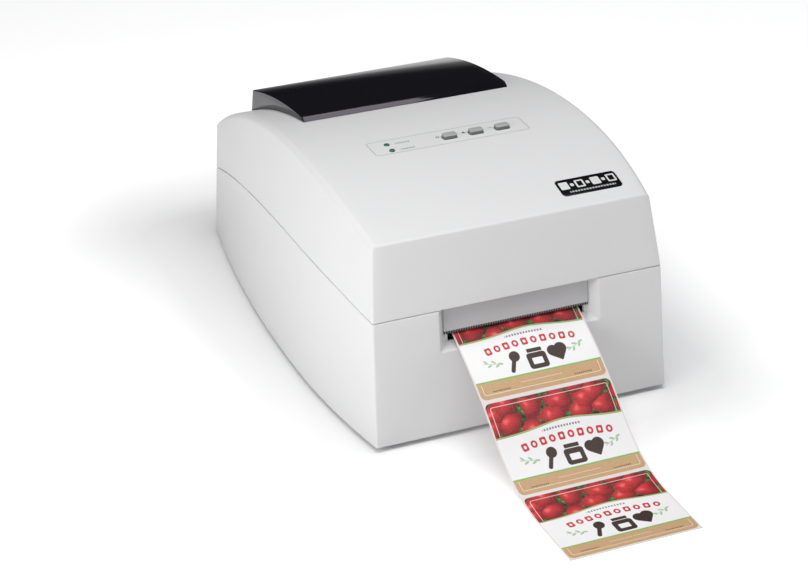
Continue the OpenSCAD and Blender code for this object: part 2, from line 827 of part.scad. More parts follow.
module feed_pinion() placed() color("goldenrod") {
    at = pinion_at();
    translate([-plate_x - 8, at[0], at[1]]) rotate([90, 0, 90])
        linear_extrude(4) polygon(gear_points(pinion_teeth, gear_m, 45 + 180 / pinion_teeth));
    rod_x(1.2, -plate_x - 4.5, -92, at);
}

module pinch_rollers() placed() color("dimgray") {
    rod_x(1.5, -53, 53, pinch_at);
    for (x = [-33, 0, 33]) rod_x(5, x - 9, x + 9, pinch_at);
}

module label_roll() placed() color("ivory") difference() {
    rod_x(roll_r, -liner_w / 2, liner_w / 2, [roll_y, roll_z]);
    rod_x(core_r + core_t, -big, big, [roll_y, roll_z]);
}

module roll_core() placed() color("tan") difference() {
    rod_x(core_r + core_t, -liner_w / 2 - 0.3, liner_w / 2 + 0.3, [roll_y, roll_z]);
    rod_x(core_r, -big, big, [roll_y, roll_z]);
}

lower_housing();
base_pan();
rubber_feet();
base_screws();
exit_panel();
left_side_plate();
right_side_plate();
rear_crossbar();
carriage_rod();
carriage_rail();
encoder_strip();
platen();
exit_guide();
cutter_bed();
blade_guides();
cutter_motor();
web_tray();
label_sensor();
pinch_holder();
feed_bushes();
feed_motor();
carriage_motor();
timing_belt();
capping_station();
main_board();
dc_inlet();
usb_socket();
fixed_roll_guide();
guide_rail();
base_hinge_leaves();
hinge_pins();
label_web();
blank_labels();
printed_strip();
printed_labels();
top_cover();
window();
panel_overlay();
lamp_lenses();
badge_plate();
button_board();
button_board_screws();
cover_hinge_leaves();
pause_button();
feed_button();
cut_button();
carriage();
carriage_bushes();
ink_cartridge();
drive_pulley();
idler_pulley();
feed_roller();
feed_gear();
feed_pinion();
pinch_rollers();
label_roll();
roll_core();
sliding_roll_guide();
cutter_blade();
cutter_pinion();
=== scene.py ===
"""Looks for a desktop colour label printer: bowed white shells, smoked roll window and printed labels."""
import json
import math

import bmesh
import bpy
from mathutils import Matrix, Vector


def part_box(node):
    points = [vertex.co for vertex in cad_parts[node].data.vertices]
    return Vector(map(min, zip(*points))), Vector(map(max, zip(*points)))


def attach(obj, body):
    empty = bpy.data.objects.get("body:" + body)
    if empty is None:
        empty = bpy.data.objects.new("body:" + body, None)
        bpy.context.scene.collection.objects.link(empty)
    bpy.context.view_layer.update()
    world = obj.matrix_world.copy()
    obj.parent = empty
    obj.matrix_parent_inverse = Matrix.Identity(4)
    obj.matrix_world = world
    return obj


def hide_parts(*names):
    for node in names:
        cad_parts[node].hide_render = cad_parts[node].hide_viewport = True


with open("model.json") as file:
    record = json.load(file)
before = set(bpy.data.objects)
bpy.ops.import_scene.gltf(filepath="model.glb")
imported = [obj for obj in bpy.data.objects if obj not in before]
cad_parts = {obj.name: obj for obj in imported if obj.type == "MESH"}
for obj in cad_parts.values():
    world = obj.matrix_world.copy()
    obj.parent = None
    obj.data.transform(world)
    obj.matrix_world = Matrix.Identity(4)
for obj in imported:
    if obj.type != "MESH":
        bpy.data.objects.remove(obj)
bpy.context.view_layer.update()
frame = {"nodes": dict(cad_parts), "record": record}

MM = 0.001
PER_M = 1000.0  # mm in a metre, for the materials' coordinates

# ---- sizes, in mm, with y = 0 at the front's foot
FOOT = 4.0
SEAM = 101.0
SEAM_GAP = 0.6
SEAM_FLAT_Y = 12.0
SEAM_CREST_Y, SEAM_CREST_Z = 120.0, 108.6
REAR_SEAM = 61.0
SEAM_POWER = 2.3
WALL = 2.5
BODY_W = 264.0
FRONT_W = 240.0
REAR_W = 215.0
BODY_D = 388.0
BODY_H = 175.0
WIDEST_Y = 130.0
CREST_Y = 150.0
CROWN_R = 430.0
SIDE_DRAFT = math.tan(math.radians(2.5))
FRONT_LEAN = math.radians(7)
COVER_LEAN_DEG, COVER_DRAFT_DEG = 14, 8
DRAFT_EASE = 8.0  # height over which the cover's steeper draft blends in, above and below the seam
SEAM_Y = (SEAM - FOOT) * math.tan(FRONT_LEAN)

# roundings: upright corners, the crown's side edges, its front and rear edges, the seam's rims, the foot
EDGE_R, RIDGE_R, FRONT_TOP_R, RIM_R, HEEL_R = 2.0, 5.5, 1.8, 0.7, 0.9

# the exit recess: half widths and sills at its mouth and its back, and the slot through it
MOUTH_HW, BACK_HW, SIDE_DEPTH = 65.5, 59.3, 8.5
MOUTH_SILL, BACK_SILL, SILL_DEPTH = 65.2, 69.5, 9.5
RECESS_R, RECESS_TOP, MOUTH_R = 1.6, 130.0, 0.9
SLOT, SLOT_FRONT, SLOT_BACK = (-56, 56, 69.5, 76.2), 1, 20
# the block behind the recess, and the depths that it spans
BLOCK, BLOCK_FRONT, BLOCK_BACK = ((-70, 60), (70, 60), (70, 97.3), (-70, 97.3)), 0.6, 11

# rear openings as x0, x1, z0, z1, corner: the rear slot, the power inlet and the USB socket
REAR_CUT = 10  # reach of their cutters, in and out
REAR_HOLES = ((-57, 57, 46, 54, 2.0), (-73.3, -60.7, 11.3, 23.3, 1.5), (-50.3, -37.7, 11.3, 23.3, 1.0))

# on the cover, as x0, x1, y0, y1
WINDOW_HOLE = (-82, 82, 228, 332)
BADGE = (47.6, 97.4, 38.6, 56.8)
PANEL = (-64.4, 64.4, 130.4, 154.0)
PLATE_R, PLATE_PLAY = 3.0, 0.15
LAMPS = ((-49.8, 145.6), (-49.8, 134.9))
LAMP_R = 2.2
BUTTON_Y = 140.2
BUTTON_XS = {"pause_button": 0.0, "feed_button": 22.1, "cut_button": 44.2}
BUTTON_HALF, BUTTON_R = (5.75, 3.5), 2.0
CUT_LOW, CUT_HIGH, CUT_OVER = 160, 190, 20  # heights spanned by cutters, and their reach over the crown

# the window: a dome between a front facet and a steep rear slope, each given by a point (y, z) and its tilt
WINDOW_HW, PANE_T = 88.0, 2.2
DOME_R, DOME_Y, DOME_Z = 413.0, 202.0, -240.0
FACET_Y, FACET_Z = 211.7, 164
FACET_TILT = (185.4 - FACET_Z) / (250 - FACET_Y)
SLOPE_Y, SLOPE_Z = 331, 182
SLOPE_TILT = (SLOPE_Z - 125) / (343.5 - SLOPE_Y)

# the label path, as in the CAD: over the platen, a dive through the slot, a hang, and a landing on the table
WEB_Z, PLATEN_Y = 86.2, 58.0
DIVE_R, DIVE_DEG, DIVE_RUN = 90, 27, 15
HANG_R, HANG_DEG, LAND_R = 300, 39, 110
RISE_RUN, RISE_R, RISE_DEG = 67.0, 30, 17.3
FAR = 1000
LINER_T, LABEL_T = 0.3, 0.12
LABEL_W, LABEL_H = 101.6, 76.2
STRIP_HW, LABEL_HW = 52.0, 50.8

# places along the path, in steps from the platen
STEP = 25.4 / 16
LABEL_STEPS, GAP_STEPS = 48, 2
WEB_START, WEB_END = -134, 17.5
STRIP_START, STRIP_END = 18.7, 165
FIRST_LABEL, LABEL_CUT = 15.8, 19
LABEL_COUNT, LABEL_R = 3, 4.0

ROLL_Y, ROLL_Z = 282.0, 97.898
SHIFT_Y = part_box("lower_housing")[0].y / MM


def bow_radius(run, rise):
    return (run * run + rise * rise) / (2 * rise)


FRONT_BOW = bow_radius(WIDEST_Y, (BODY_W - FRONT_W) / 2)
REAR_BOW = bow_radius(BODY_D - WIDEST_Y, (BODY_W - REAR_W) / 2)


def at(x, y, z):
    """A point given in mm from the front's foot, in metres in the row's frame."""
    return Vector((x * MM, (y + SHIFT_Y) * MM, z * MM))


def between(a, b, share):
    return a + (b - a) * share


# ---- mesh helpers
def add_object(name, data):
    obj = bpy.data.objects.new(name, data)
    bpy.context.scene.collection.objects.link(obj)
    return obj


def make_object(name, verts, faces):
    mesh = bpy.data.meshes.new(name)
    mesh.from_pydata([tuple(v) for v in verts], [], faces)
    mesh.validate()
    return add_object(name, mesh)


WELD = 1e-6
SHARP_DEG, SOFT_DEG = 32, 40


def tidy(obj, angle=SHARP_DEG, weld=WELD):
    """Welds, points the normals outwards, and smooths all but the sharp edges."""
    bm = bmesh.new()
    bm.from_mesh(obj.data)
    if weld:
        bmesh.ops.remove_doubles(bm, verts=bm.verts, dist=weld)
    bmesh.ops.recalc_face_normals(bm, faces=bm.faces)
    bm.to_mesh(obj.data)
    bm.free()
    obj.data.polygons.foreach_set("use_smooth", [True] * len(obj.data.polygons))
    obj.data.set_sharp_from_angle(angle=math.radians(angle))
    return obj


def apply_modifiers(obj):
    deps = bpy.context.evaluated_depsgraph_get()
    mesh = bpy.data.meshes.new_from_object(obj.evaluated_get(deps))
    obj.modifiers.clear()
    old = obj.data
    obj.data = mesh
    mesh.name = old.name
    bpy.data.meshes.remove(old)


def boolean(obj, other, operation="DIFFERENCE"):
    mod = obj.modifiers.new("cut", "BOOLEAN")
    mod.operation = operation
    mod.solver = "EXACT"
    mod.object = other
    apply_modifiers(obj)
    bpy.data.objects.remove(other)


def bevel(obj, width, segments, angle):
    mod = obj.modifiers.new("edge", "BEVEL")
    mod.width = width * MM
    mod.segments = segments
    mod.limit_method = "ANGLE"
    mod.angle_limit = math.radians(angle)
    mod.harden_normals = False
    apply_modifiers(obj)


def grid_faces(rows, cols, base=0, flip=False):
    """Quads over a rows x cols block of vertices laid out row by row."""
    faces = []
    for i in range(rows - 1):
        for j in range(cols - 1):
            a = base + i * cols + j
            quad = (a, a + 1, a + cols + 1, a + cols)
            faces.append(quad[::-1] if flip else quad)
    return faces


def prism(name, outline, place):
    """A closed prism from a flat outline. place(u, v, d) gives a point in metres, with d from 0 to 1."""
    n = len(outline)
    verts = [place(u, v, d) for d in (0, 1) for u, v in outline]
    faces = [tuple(range(n)), tuple(range(2 * n - 1, n - 1, -1))]
    faces += [(i, (i + 1) % n, n + (i + 1) % n, n + i) for i in range(n)]
    return tidy(make_object(name, verts, faces))


def rounded_rect(x0, x1, y0, y1, r, steps=6):
    """A rectangle's outline as four corner arcs, anticlockwise from its upper right."""
    points = []
    centres = ((x1 - r, y1 - r), (x0 + r, y1 - r), (x0 + r, y0 + r), (x1 - r, y0 + r))
    for quarter, (cx, cy) in enumerate(centres):
        for k in range(steps + 1):
            a = math.radians(90 * quarter + 90 * k / steps)
            points.append((cx + r * math.cos(a), cy + r * math.sin(a)))
    return points


def grown(x0, x1, y0, y1, grow, r, steps=6):
    """A rounded rectangle offset outwards, or inwards where grow is negative."""
    return rounded_rect(x0 - grow, x1 + grow, y0 - grow, y1 + grow, r + grow, steps)


def arc_steps(n):
    """Angles of a quarter turn in n equal steps."""
    return [math.pi / 2 * k / n for k in range(n + 1)]


def in_turn(count):
    """Index pairs that join count loops, each to the next."""
    return [(i, i + 1) for i in range(count - 1)]


def join_loops(pairs, n):
    """Quads between loops of n vertices each, for pairs of the loops' indices."""
    return [(a * n + k, a * n + (k + 1) % n, b * n + (k + 1) % n, b * n + k)
            for a, b in pairs for k in range(n)]


def piece(obj, body, slot, node, material=None):
    """Gives one visible piece its material, from its slot unless one is given, puts it on its body and hides
    the CAD node that it replaces.
    """
    obj.data.materials.clear()
    obj.data.materials.append(material or by_slot[slot])
    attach(obj, body)
    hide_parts(node)


# ---- node helpers
MIX_COLOURS, MIX_RESULT = (6, 7), 2  # the Mix node's sockets for colours


class Graph:
    """A material's node tree, with sockets combined as plain arithmetic."""

    def __init__(self, name):
        self.material = bpy.data.materials.new(name)
        self.material.use_nodes = True
        self.tree = self.material.node_tree
        self.bsdf = self.tree.nodes["Principled BSDF"]

    def node(self, kind, **values):
        made = self.tree.nodes.new(kind)
        for key, value in values.items():
            setattr(made, key, value)
        return made

    def link(self, source, socket):
        if isinstance(source, Wire):
            source = source.socket
        if isinstance(source, bpy.types.NodeSocket):
            self.tree.links.new(source, socket)
        else:
            socket.default_value = source

    def math(self, operation, *args):
        made = self.node("ShaderNodeMath", operation=operation)
        for value, socket in zip(args, made.inputs):
            self.link(value, socket)
        return Wire(self, made.outputs[0])

    def mix(self, share, a, b):
        made = self.node("ShaderNodeMix", data_type="RGBA")
        self.link(share, made.inputs[0])
        for value, index in zip((a, b), MIX_COLOURS):
            self.link(value + (1,) if isinstance(value, tuple) else value, made.inputs[index])
        return Wire(self, made.outputs[MIX_RESULT])

    def noise(self, vector, scale, detail=2.0, rough=0.5, dims="3D"):
        made = self.node("ShaderNodeTexNoise", noise_dimensions=dims)
        self.link(vector, made.inputs["Vector"])
        made.inputs["Scale"].default_value = scale
        made.inputs["Detail"].default_value = detail
        made.inputs["Roughness"].default_value = rough
        return Wire(self, made.outputs["Fac"])

    def mottle(self, vector, scale, detail, colour, low, high):
        """A colour that drifts between two shades of itself."""
        return self.mix(self.noise(vector, scale, detail), tint(colour, low), tint(colour, high))

    def voronoi(self, vector, scale, feature="F1", dims="2D", randomness=1.0):
        made = self.node("ShaderNodeTexVoronoi", voronoi_dimensions=dims, feature=feature)
        self.link(vector, made.inputs["Vector"])
        made.inputs["Scale"].default_value = scale
        made.inputs["Randomness"].default_value = randomness
        return made

    def ramp(self, share, *stops):
        made = self.node("ShaderNodeValToRGB")
        self.link(share, made.inputs[0])
        elements = made.color_ramp.elements
        while len(elements) < len(stops):
            elements.new(0.5)
        for element, (position, colour) in zip(elements, stops):
            element.position = position
            element.color = tuple(colour) + (1,)
        return Wire(self, made.outputs[0])

    def combine(self, x, y, z=0.0):
        made = self.node("ShaderNodeCombineXYZ")
        for value, socket in zip((x, y, z), made.inputs):
            self.link(value, socket)
        return Wire(self, made.outputs[0])

    def split(self, vector):
        made = self.node("ShaderNodeSeparateXYZ")
        self.link(vector, made.inputs[0])
        return [Wire(self, s) for s in made.outputs]

    def coords(self, kind="Object"):
        return self.node("ShaderNodeTexCoord").outputs[kind]

    def bump(self, height, strength, distance):
        made = self.node("ShaderNodeBump")
        made.inputs["Strength"].default_value = strength
        made.inputs["Distance"].default_value = distance
        self.link(height, made.inputs["Height"])
        self.link(made.outputs[0], self.bsdf.inputs["Normal"])

    def set(self, **values):
        for key, value in values.items():
            self.link(value, self.bsdf.inputs[key.replace("_", " ")])
        return self.material


class Wire:
    """One socket in a Graph that adds, subtracts, multiplies and compares."""

    def __init__(self, graph, socket):
        self.graph, self.socket = graph, socket

    def __add__(self, other):
        return self.graph.math("ADD", self, other)

    def __radd__(self, other):
        return self.graph.math("ADD", other, self)

    def __sub__(self, other):
        return self.graph.math("SUBTRACT", self, other)

    def __rsub__(self, other):
        return self.graph.math("SUBTRACT", other, self)

    def __mul__(self, other):
        return self.graph.math("MULTIPLY", self, other)

    def __rmul__(self, other):
        return self.graph.math("MULTIPLY", other, self)

    def __abs__(self):
        return self.graph.math("ABSOLUTE", self)

    def below(self, other):
        return self.graph.math("LESS_THAN", self, other)

    def above(self, other):
        return self.graph.math("GREATER_THAN", self, other)

    def least(self, other):
        return self.graph.math("MINIMUM", self, other)

    def most(self, other):
        return self.graph.math("MAXIMUM", self, other)

    def power(self, other):
        return self.graph.math("POWER", self, other)


def clamp(wire):
    """Limits a wire's value to the range 0 to 1."""
    wire.socket.node.use_clamp = True
    return wire


def length(u, v):
    """The length of a vector of two wires."""
    return (u * u + v * v).power(0.5)


def inside(distance, soft=0.25):
    """1 where a signed distance in mm is negative, with a soft edge."""
    return clamp(0.5 - distance * (1 / soft))


def tint(colour, factor):
    return tuple(min(1.0, c * factor) for c in colour)


def moulded(name, colour, roughness, grain, grain_size, spread, coat=0.0):
    """Moulded plastic: a fine spark-eroded grain, faint flow variation and slightly uneven gloss."""
    g = Graph(name)
    place = g.coords()
    g.bump(g.noise(place, grain_size, 2), grain, 0.00006)
    return g.set(Base_Color=g.mottle(place, 9, 3, colour, 1 - spread, 1 + spread),
                 Roughness=roughness - 0.05 + 0.1 * g.noise(place, 60, 3), Coat_Weight=coat)


def key_plastic(name, top, flank, edge_z):
    """Button plastic, paler on top than round its flanks."""
    g = Graph(name)
    place = g.coords()
    height = g.split(place)[2]
    # the top's colour, paler than the flanks' colour
    paler_top = g.mottle(place, 300, 2, top, 0.97, 1.03)
    g.bump(g.noise(place, 1800, 2), 0.2, 0.00006)
    return g.set(Base_Color=g.mix(inside(edge_z - height * PER_M, 0.6), flank, paler_top),
                 Roughness=0.36 + 0.08 * g.noise(place, 70, 3))


def sheet_metal(name, colour, roughness, stretch=(4, 4, 160)):
    """Rolled or ground metal, with fine lines along one direction."""
    g = Graph(name)
    mapping = g.node("ShaderNodeMapping")
    g.link(g.coords(), mapping.inputs["Vector"])
    mapping.inputs["Scale"].default_value = stretch
    lines = g.noise(mapping.outputs[0], 22, 4, 0.6)
    g.bump(lines, 0.12, 0.00005)
    return g.set(Base_Color=g.mottle(g.coords(), 45, 2, colour, 0.9, 1.1), Metallic=1.0,
                 Roughness=roughness - 0.08 + 0.2 * lines)


def soft_rubber(name, colour):
    g = Graph(name)
    place = g.coords()
    g.bump(g.noise(place, 2200, 3), 0.4, 0.0001)
    return g.set(Base_Color=g.mottle(place, 80, 2, colour, 0.85, 1.2), Roughness=0.8)


WHITE = (0.785, 0.785, 0.79)
KEY_TOP, KEY_FLANK, KEY_EDGE_Z = (0.42, 0.435, 0.43), (0.17, 0.18, 0.175), 177.2
# colour, roughness, grain, grain size, spread of the colour, and a clear coat where there is one
MOULDED = {
    "white_plastic": (WHITE, 0.40, 0.22, 1500, 0.008),
    "lamp_green": ((0.02, 0.13, 0.07), 0.15, 0.02, 900, 0.1, 0.6),
    "badge_black": ((0.006, 0.006, 0.007), 0.14, 0.03, 500, 0.1, 0.8),
    "grey_plastic": ((0.40, 0.40, 0.41), 0.45, 0.3, 1400, 0.02),
    "dark_plastic": ((0.028, 0.028, 0.031), 0.42, 0.35, 1300, 0.08),
    "guide_plastic": ((0.30, 0.38, 0.47), 0.38, 0.2, 1300, 0.03),
    "gear_plastic": ((0.72, 0.70, 0.62), 0.4, 0.1, 1300, 0.03),
    "inlet_black": ((0.015, 0.015, 0.016), 0.35, 0.2, 1500, 0.1),
    "clear_film": ((0.22, 0.23, 0.25), 0.12, 0.02, 800, 0.05, 0.5),
    "motor_can": ((0.10, 0.10, 0.11), 0.33, 0.15, 900, 0.05),
}
# colour, roughness, and how the grinding lines are stretched
METAL = {
    "steel_sheet": ((0.58, 0.59, 0.60), 0.34),
    "polished_steel": ((0.75, 0.75, 0.76), 0.14, (160, 4, 4)),
    "tool_steel": ((0.55, 0.55, 0.57), 0.25, (4, 4, 220)),
    "screw_steel": ((0.28, 0.28, 0.30), 0.35),
    "brass": ((0.72, 0.55, 0.26), 0.25, (90, 4, 4)),
}
RUBBER = {"foot_rubber": (0.035, 0.035, 0.037), "feed_rubber": (0.05, 0.05, 0.054)}


# ---- body surfaces
def bow(y):
    r = FRONT_BOW if y < WIDEST_Y else REAR_BOW
    return r - math.sqrt(r * r - (y - WIDEST_Y) ** 2)


def half_width(y, z):
    over = z - SEAM
    if abs(over) < DRAFT_EASE:
        upper = (over + DRAFT_EASE) ** 2 / (4 * DRAFT_EASE)
    else:
        upper = max(over, 0)
    draft = (z - FOOT) * SIDE_DRAFT + upper * (math.tan(math.radians(COVER_DRAFT_DEG)) - SIDE_DRAFT)
    return BODY_W / 2 - bow(y) - draft


def face_y(z):
    if z < SEAM:
        return (z - FOOT) * math.tan(FRONT_LEAN)
    return SEAM_Y + (z - SEAM) * math.tan(math.radians(COVER_LEAN_DEG))


def seam_z(y):
    """Flat along the front, arched over its crest, then down to the rear."""
    if y < SEAM_CREST_Y:
        before = (SEAM_CREST_Y - max(y, SEAM_FLAT_Y)) / (SEAM_CREST_Y - SEAM_FLAT_Y)
        return SEAM_CREST_Z - (SEAM_CREST_Z - SEAM) * before ** 2
    behind = (y - SEAM_CREST_Y) / (BODY_D - SEAM_CREST_Y)
    return SEAM_CREST_Z - (SEAM_CREST_Z - REAR_SEAM) * behind ** SEAM_POWER


def crown_z(y, inset=0.0):
    return BODY_H - CROWN_R + math.sqrt((CROWN_R - inset) ** 2 - (y - CREST_Y) ** 2)


def on_face(x, depth, height):
    """A point given by its depth behind the front face and its height up along it."""
    c, s = math.cos(FRONT_LEAN), math.sin(FRONT_LEAN)
    return at(x, depth * c + height * s, FOOT - depth * s + height * c)


ACROSS, ARC, ALONG = 12, 6, 62  # steps over half an end, round a corner and along a side
SETTLE = 6  # rounds that settle a height that depends on y, which depends on the height
LEAST_R, LEAST_RIDGE_R = 0.6, 1.5


def ring(level):
    """One loop round the body, starting and ending at the front's middle. level(y, end) gives a height and an
    inset, where end is 1 on the front and rear faces, 0 on the sides, and between the two round a corner."""
    y0, y1 = 10.0, BODY_D - 1.0
    for _ in range(SETTLE):
        z0, inset0 = level(y0, 1.0)
        y0 = face_y(z0) + inset0
        z1, inset1 = level(y1, 1.0)
        y1 = BODY_D - inset1
    r = max(EDGE_R - inset0, LEAST_R)
    lean = math.asin((WIDEST_Y - y0) / FRONT_BOW)
    z, inset = level(y0 + r, 0.0)
    xc = half_width(y0, z) - inset - r * (1 - math.sin(lean)) / math.cos(lean)
    half = [(xc * i / ACROSS, y0, z0) for i in range(ACROSS)]
    for k in range(ARC + 1):
        a = -math.pi / 2 + (math.pi / 2 - lean) * k / ARC
        y = y0 + r + r * math.sin(a)
        half.append((xc + r * math.cos(a), y, level(y, 1 - k / ARC)[0]))
    start = half[-1][1]
    r = max(EDGE_R - inset1, LEAST_R)
    lean = math.asin((y1 - WIDEST_Y) / REAR_BOW)
    z, inset = level(y1 - r, 0.0)
    xc = half_width(y1, z) - inset - r * (1 - math.sin(lean)) / math.cos(lean)
    stop = y1 - r + r * math.sin(lean)
    for k in range(1, ALONG):
        y = start + (stop - start) * k / ALONG
        z, inset = level(y, 0.0)
        half.append((half_width(y, z) - inset, y, z))
    for k in range(ARC + 1):
        a = lean + (math.pi / 2 - lean) * k / ARC
        y = y1 - r + r * math.sin(a)
        half.append((xc + r * math.cos(a), y, level(y, k / ARC)[0]))
    half += [(xc * (1 - i / ACROSS), y1, z1) for i in range(1, ACROSS + 1)]
    return half + [(-x, y, z) for x, y, z in reversed(half[1:-1])]


def skin(name, rings, split=None):
    """Joins rings into a closed surface, the last to the first. At split, that ring and the next are roofed
    over with rows straight across the body instead of being joined to each other."""
    n = len(rings[0])
    verts = [at(*p) for loop in rings for p in loop]
    faces = join_loops([(i, (i + 1) % len(rings)) for i in range(len(rings)) if i != split], n)
    for index in () if split is None else (split, split + 1):
        rows = rings[index][ACROSS:n // 2 - ACROSS + 1]
        base = len(verts)
        verts += [at(x * (m / ACROSS - 1), y, z) for x, y, z in rows for m in range(2 * ACROSS + 1)]
        faces += grid_faces(len(rows), 2 * ACROSS + 1, base)
    return tidy(make_object(name, verts, faces))


WALL_ROWS, ROUND_ROWS, INNER_ROWS = 9, 8, 4
LIP_DROP = 5.5
# the housing's lip inside the cover, as (inset, height above the seam)
LIP = ((2.75, 0.0), (2.75, 2.2), (3.0, 2.45), (3.7, 2.45), (3.95, 2.2), (3.95, -4.0), (WALL, -LIP_DROP))


def rise(a, r):
    """How far a quarter round of radius r has risen at angle a, and its inset there."""
    return r * (1 - math.cos(a)), r * (1 - math.sin(a))


def housing_rings():
    """From the heel up the outside, over the rim and the lip, and down the inside to the floor."""
    rings = []
    for up, inset in (rise(a, HEEL_R) for a in arc_steps(3)):
        rings.append(ring(lambda y, end: (FOOT + up, inset)))
    for q in range(1, WALL_ROWS):
        rings.append(ring(lambda y, end: (
            FOOT + HEEL_R + (seam_z(y) - RIM_R - FOOT - HEEL_R) * q / WALL_ROWS, 0.0)))
    for inset, down in (rise(a, RIM_R) for a in arc_steps(4)):
        rings.append(ring(lambda y, end: (seam_z(y) - down, inset)))
    for inset, up in LIP:
        rings.append(ring(lambda y, end: (seam_z(y) + up, inset)))
    for q in range(INNER_ROWS - 1, -1, -1):
        rings.append(ring(lambda y, end: (FOOT + (seam_z(y) - LIP_DROP - FOOT) * q / INNER_ROWS, WALL)))
    return rings


def cover_level(q, part, inset):
    """Levels of the cover's skin: its wall from the seam up, then the rounding over into the crown."""
    def level(y, end):
        r = max(between(RIDGE_R, FRONT_TOP_R, end) - inset, LEAST_RIDGE_R)
        end_lean = COVER_LEAN_DEG if y < BODY_D / 2 else 0
        lean = math.radians(COVER_DRAFT_DEG + (end_lean - COVER_DRAFT_DEG) * end)
        top = crown_z(y, inset)
        if part == "wall":
            low = seam_z(y) + SEAM_GAP + (0 if inset else RIM_R)
            return low + (top - r * (1 - math.sin(lean)) - low) * q, inset
        a = lean + (math.pi / 2 - lean) * q
        down = r * (1 - math.sin(a))
        own = down * math.tan(lean) + r * (1 - math.sin(lean)) / math.cos(lean) - r * math.cos(a)
        return top - down, inset + own
    return level


def cover_rings():
    """From the rim up the outside to the crown, then from the crown's underside back down. Also gives the
    index of the crown's outside ring."""
    rings = []
    for up, inset in (rise(a, RIM_R) for a in arc_steps(4)):
        rings.append(ring(lambda y, end: (seam_z(y) + SEAM_GAP + up, inset)))
    rings += [ring(cover_level(q / WALL_ROWS, "wall", 0.0)) for q in range(1, WALL_ROWS)]
    rings += [ring(cover_level(q / ROUND_ROWS, "round", 0.0)) for q in range(ROUND_ROWS + 1)]
    outer = len(rings) - 1
    rings += [ring(cover_level(q / INNER_ROWS, "round", WALL)) for q in range(INNER_ROWS, -1, -1)]
    rings += [ring(cover_level(q / INNER_ROWS, "wall", WALL)) for q in range(INNER_ROWS - 1, -1, -1)]
    return rings, outer


def loft(name, rows):
    """A closed solid from rows of points in metres, each row a loop of the same length, with flat ends."""
    n = len(rows[0])
    verts = [p for row in rows for p in row]
    last = (len(rows) - 1) * n
    faces = join_loops(in_turn(len(rows)), n) + [tuple(range(n)), tuple(range(last, last + n))]
    return tidy(make_object(name, verts, faces))


def upright(name, outline, z0, z1):
    """A prism standing between two heights."""
    return prism(name, outline, lambda u, v, d: at(u, v, between(z0, z1, d)))


# ---- lower housing
def recess_outline(depth, grow):
    """The exit recess's outline at a depth behind the front face, open at the top."""
    hw = MOUTH_HW - (MOUTH_HW - BACK_HW) * max(depth, 0) / SIDE_DEPTH + grow
    low = MOUTH_SILL + (BACK_SILL - MOUTH_SILL) * max(depth, 0) / SILL_DEPTH - grow
    r = RECESS_R + grow
    bend = [(hw - r + r * math.sin(a), low + r - r * math.cos(a)) for a in arc_steps(5)]
    points = bend + [(hw, RECESS_TOP), (-hw, RECESS_TOP)] + [(-x, h) for x, h in reversed(bend)]
    return [on_face(x, depth, h) for x, h in points]


def behind_face(name, outline, front, back):
    """A prism between two depths behind the front face."""
    return prism(name, outline, lambda u, v, d: on_face(u, between(front, back, d), v))


def build_housing():
    shell = skin("lower_shell", housing_rings())
    boolean(shell, behind_face("recess_block", BLOCK, BLOCK_FRONT, BLOCK_BACK), "UNION")
    rows = [recess_outline(-12.0, MOUTH_R)]
    rows += [recess_outline(*rise(a, MOUTH_R)) for a in arc_steps(4)]
    rows += [recess_outline(SIDE_DEPTH, 0.0)]
    boolean(shell, loft("recess_cut", rows))
    boolean(shell, behind_face("slot_cut", rounded_rect(*SLOT, 1.0, 4), SLOT_FRONT, SLOT_BACK))
    for hole in REAR_HOLES:
        boolean(shell, prism("rear_cut", rounded_rect(*hole, 5),
                             lambda u, v, d: at(u, BODY_D + REAR_CUT * (2 * d - 1), v)))
    return tidy(shell)


# ---- top cover
def below_crown(name, outline, depth):
    """A cutter whose floor lies a set depth under the crown."""
    return prism(name, outline, lambda u, v, d: at(u, v, crown_z(v) + between(-depth, CUT_OVER, d)))


def button_outline(x, grow):
    half_x, half_y = BUTTON_HALF
    return grown(x - half_x, x + half_x, BUTTON_Y - half_y, BUTTON_Y + half_y, grow, BUTTON_R, 8)


def lamp_outline(x, y, grow):
    """A circle, but for a hair of straight side between its quarters."""
    half = LAMP_R + grow
    return rounded_rect(x - half, x + half, y - half, y + half, max(half - 0.01, 0.25), 10)


def build_cover():
    rings, outer = cover_rings()
    shell = skin("cover_shell", rings, outer)
    boolean(shell, upright("window_cut", rounded_rect(*WINDOW_HOLE, 6), 95, 200))
    boolean(shell, below_crown("panel_cut", grown(*PANEL, PLATE_PLAY, PLATE_R), 0.8))
    boolean(shell, below_crown("badge_cut", grown(*BADGE, PLATE_PLAY, PLATE_R), 0.9))
    for x in BUTTON_XS.values():
        boolean(shell, upright("button_cut", button_outline(x, 0.3), CUT_LOW, CUT_HIGH))
    for x, y in LAMPS:
        boolean(shell, upright("lamp_cut", lamp_outline(x, y, PLATE_PLAY), CUT_LOW, CUT_HIGH))
    return tidy(shell)


# ---- window, buttons, lamps and badge
def dome_z(y, inset=0.0):
    return DOME_Z + math.sqrt((DOME_R - inset) ** 2 - (y - DOME_Y) ** 2)


DOME_STEPS, SLOPE_STEPS, DOME_SETTLE = 40, 4, 40


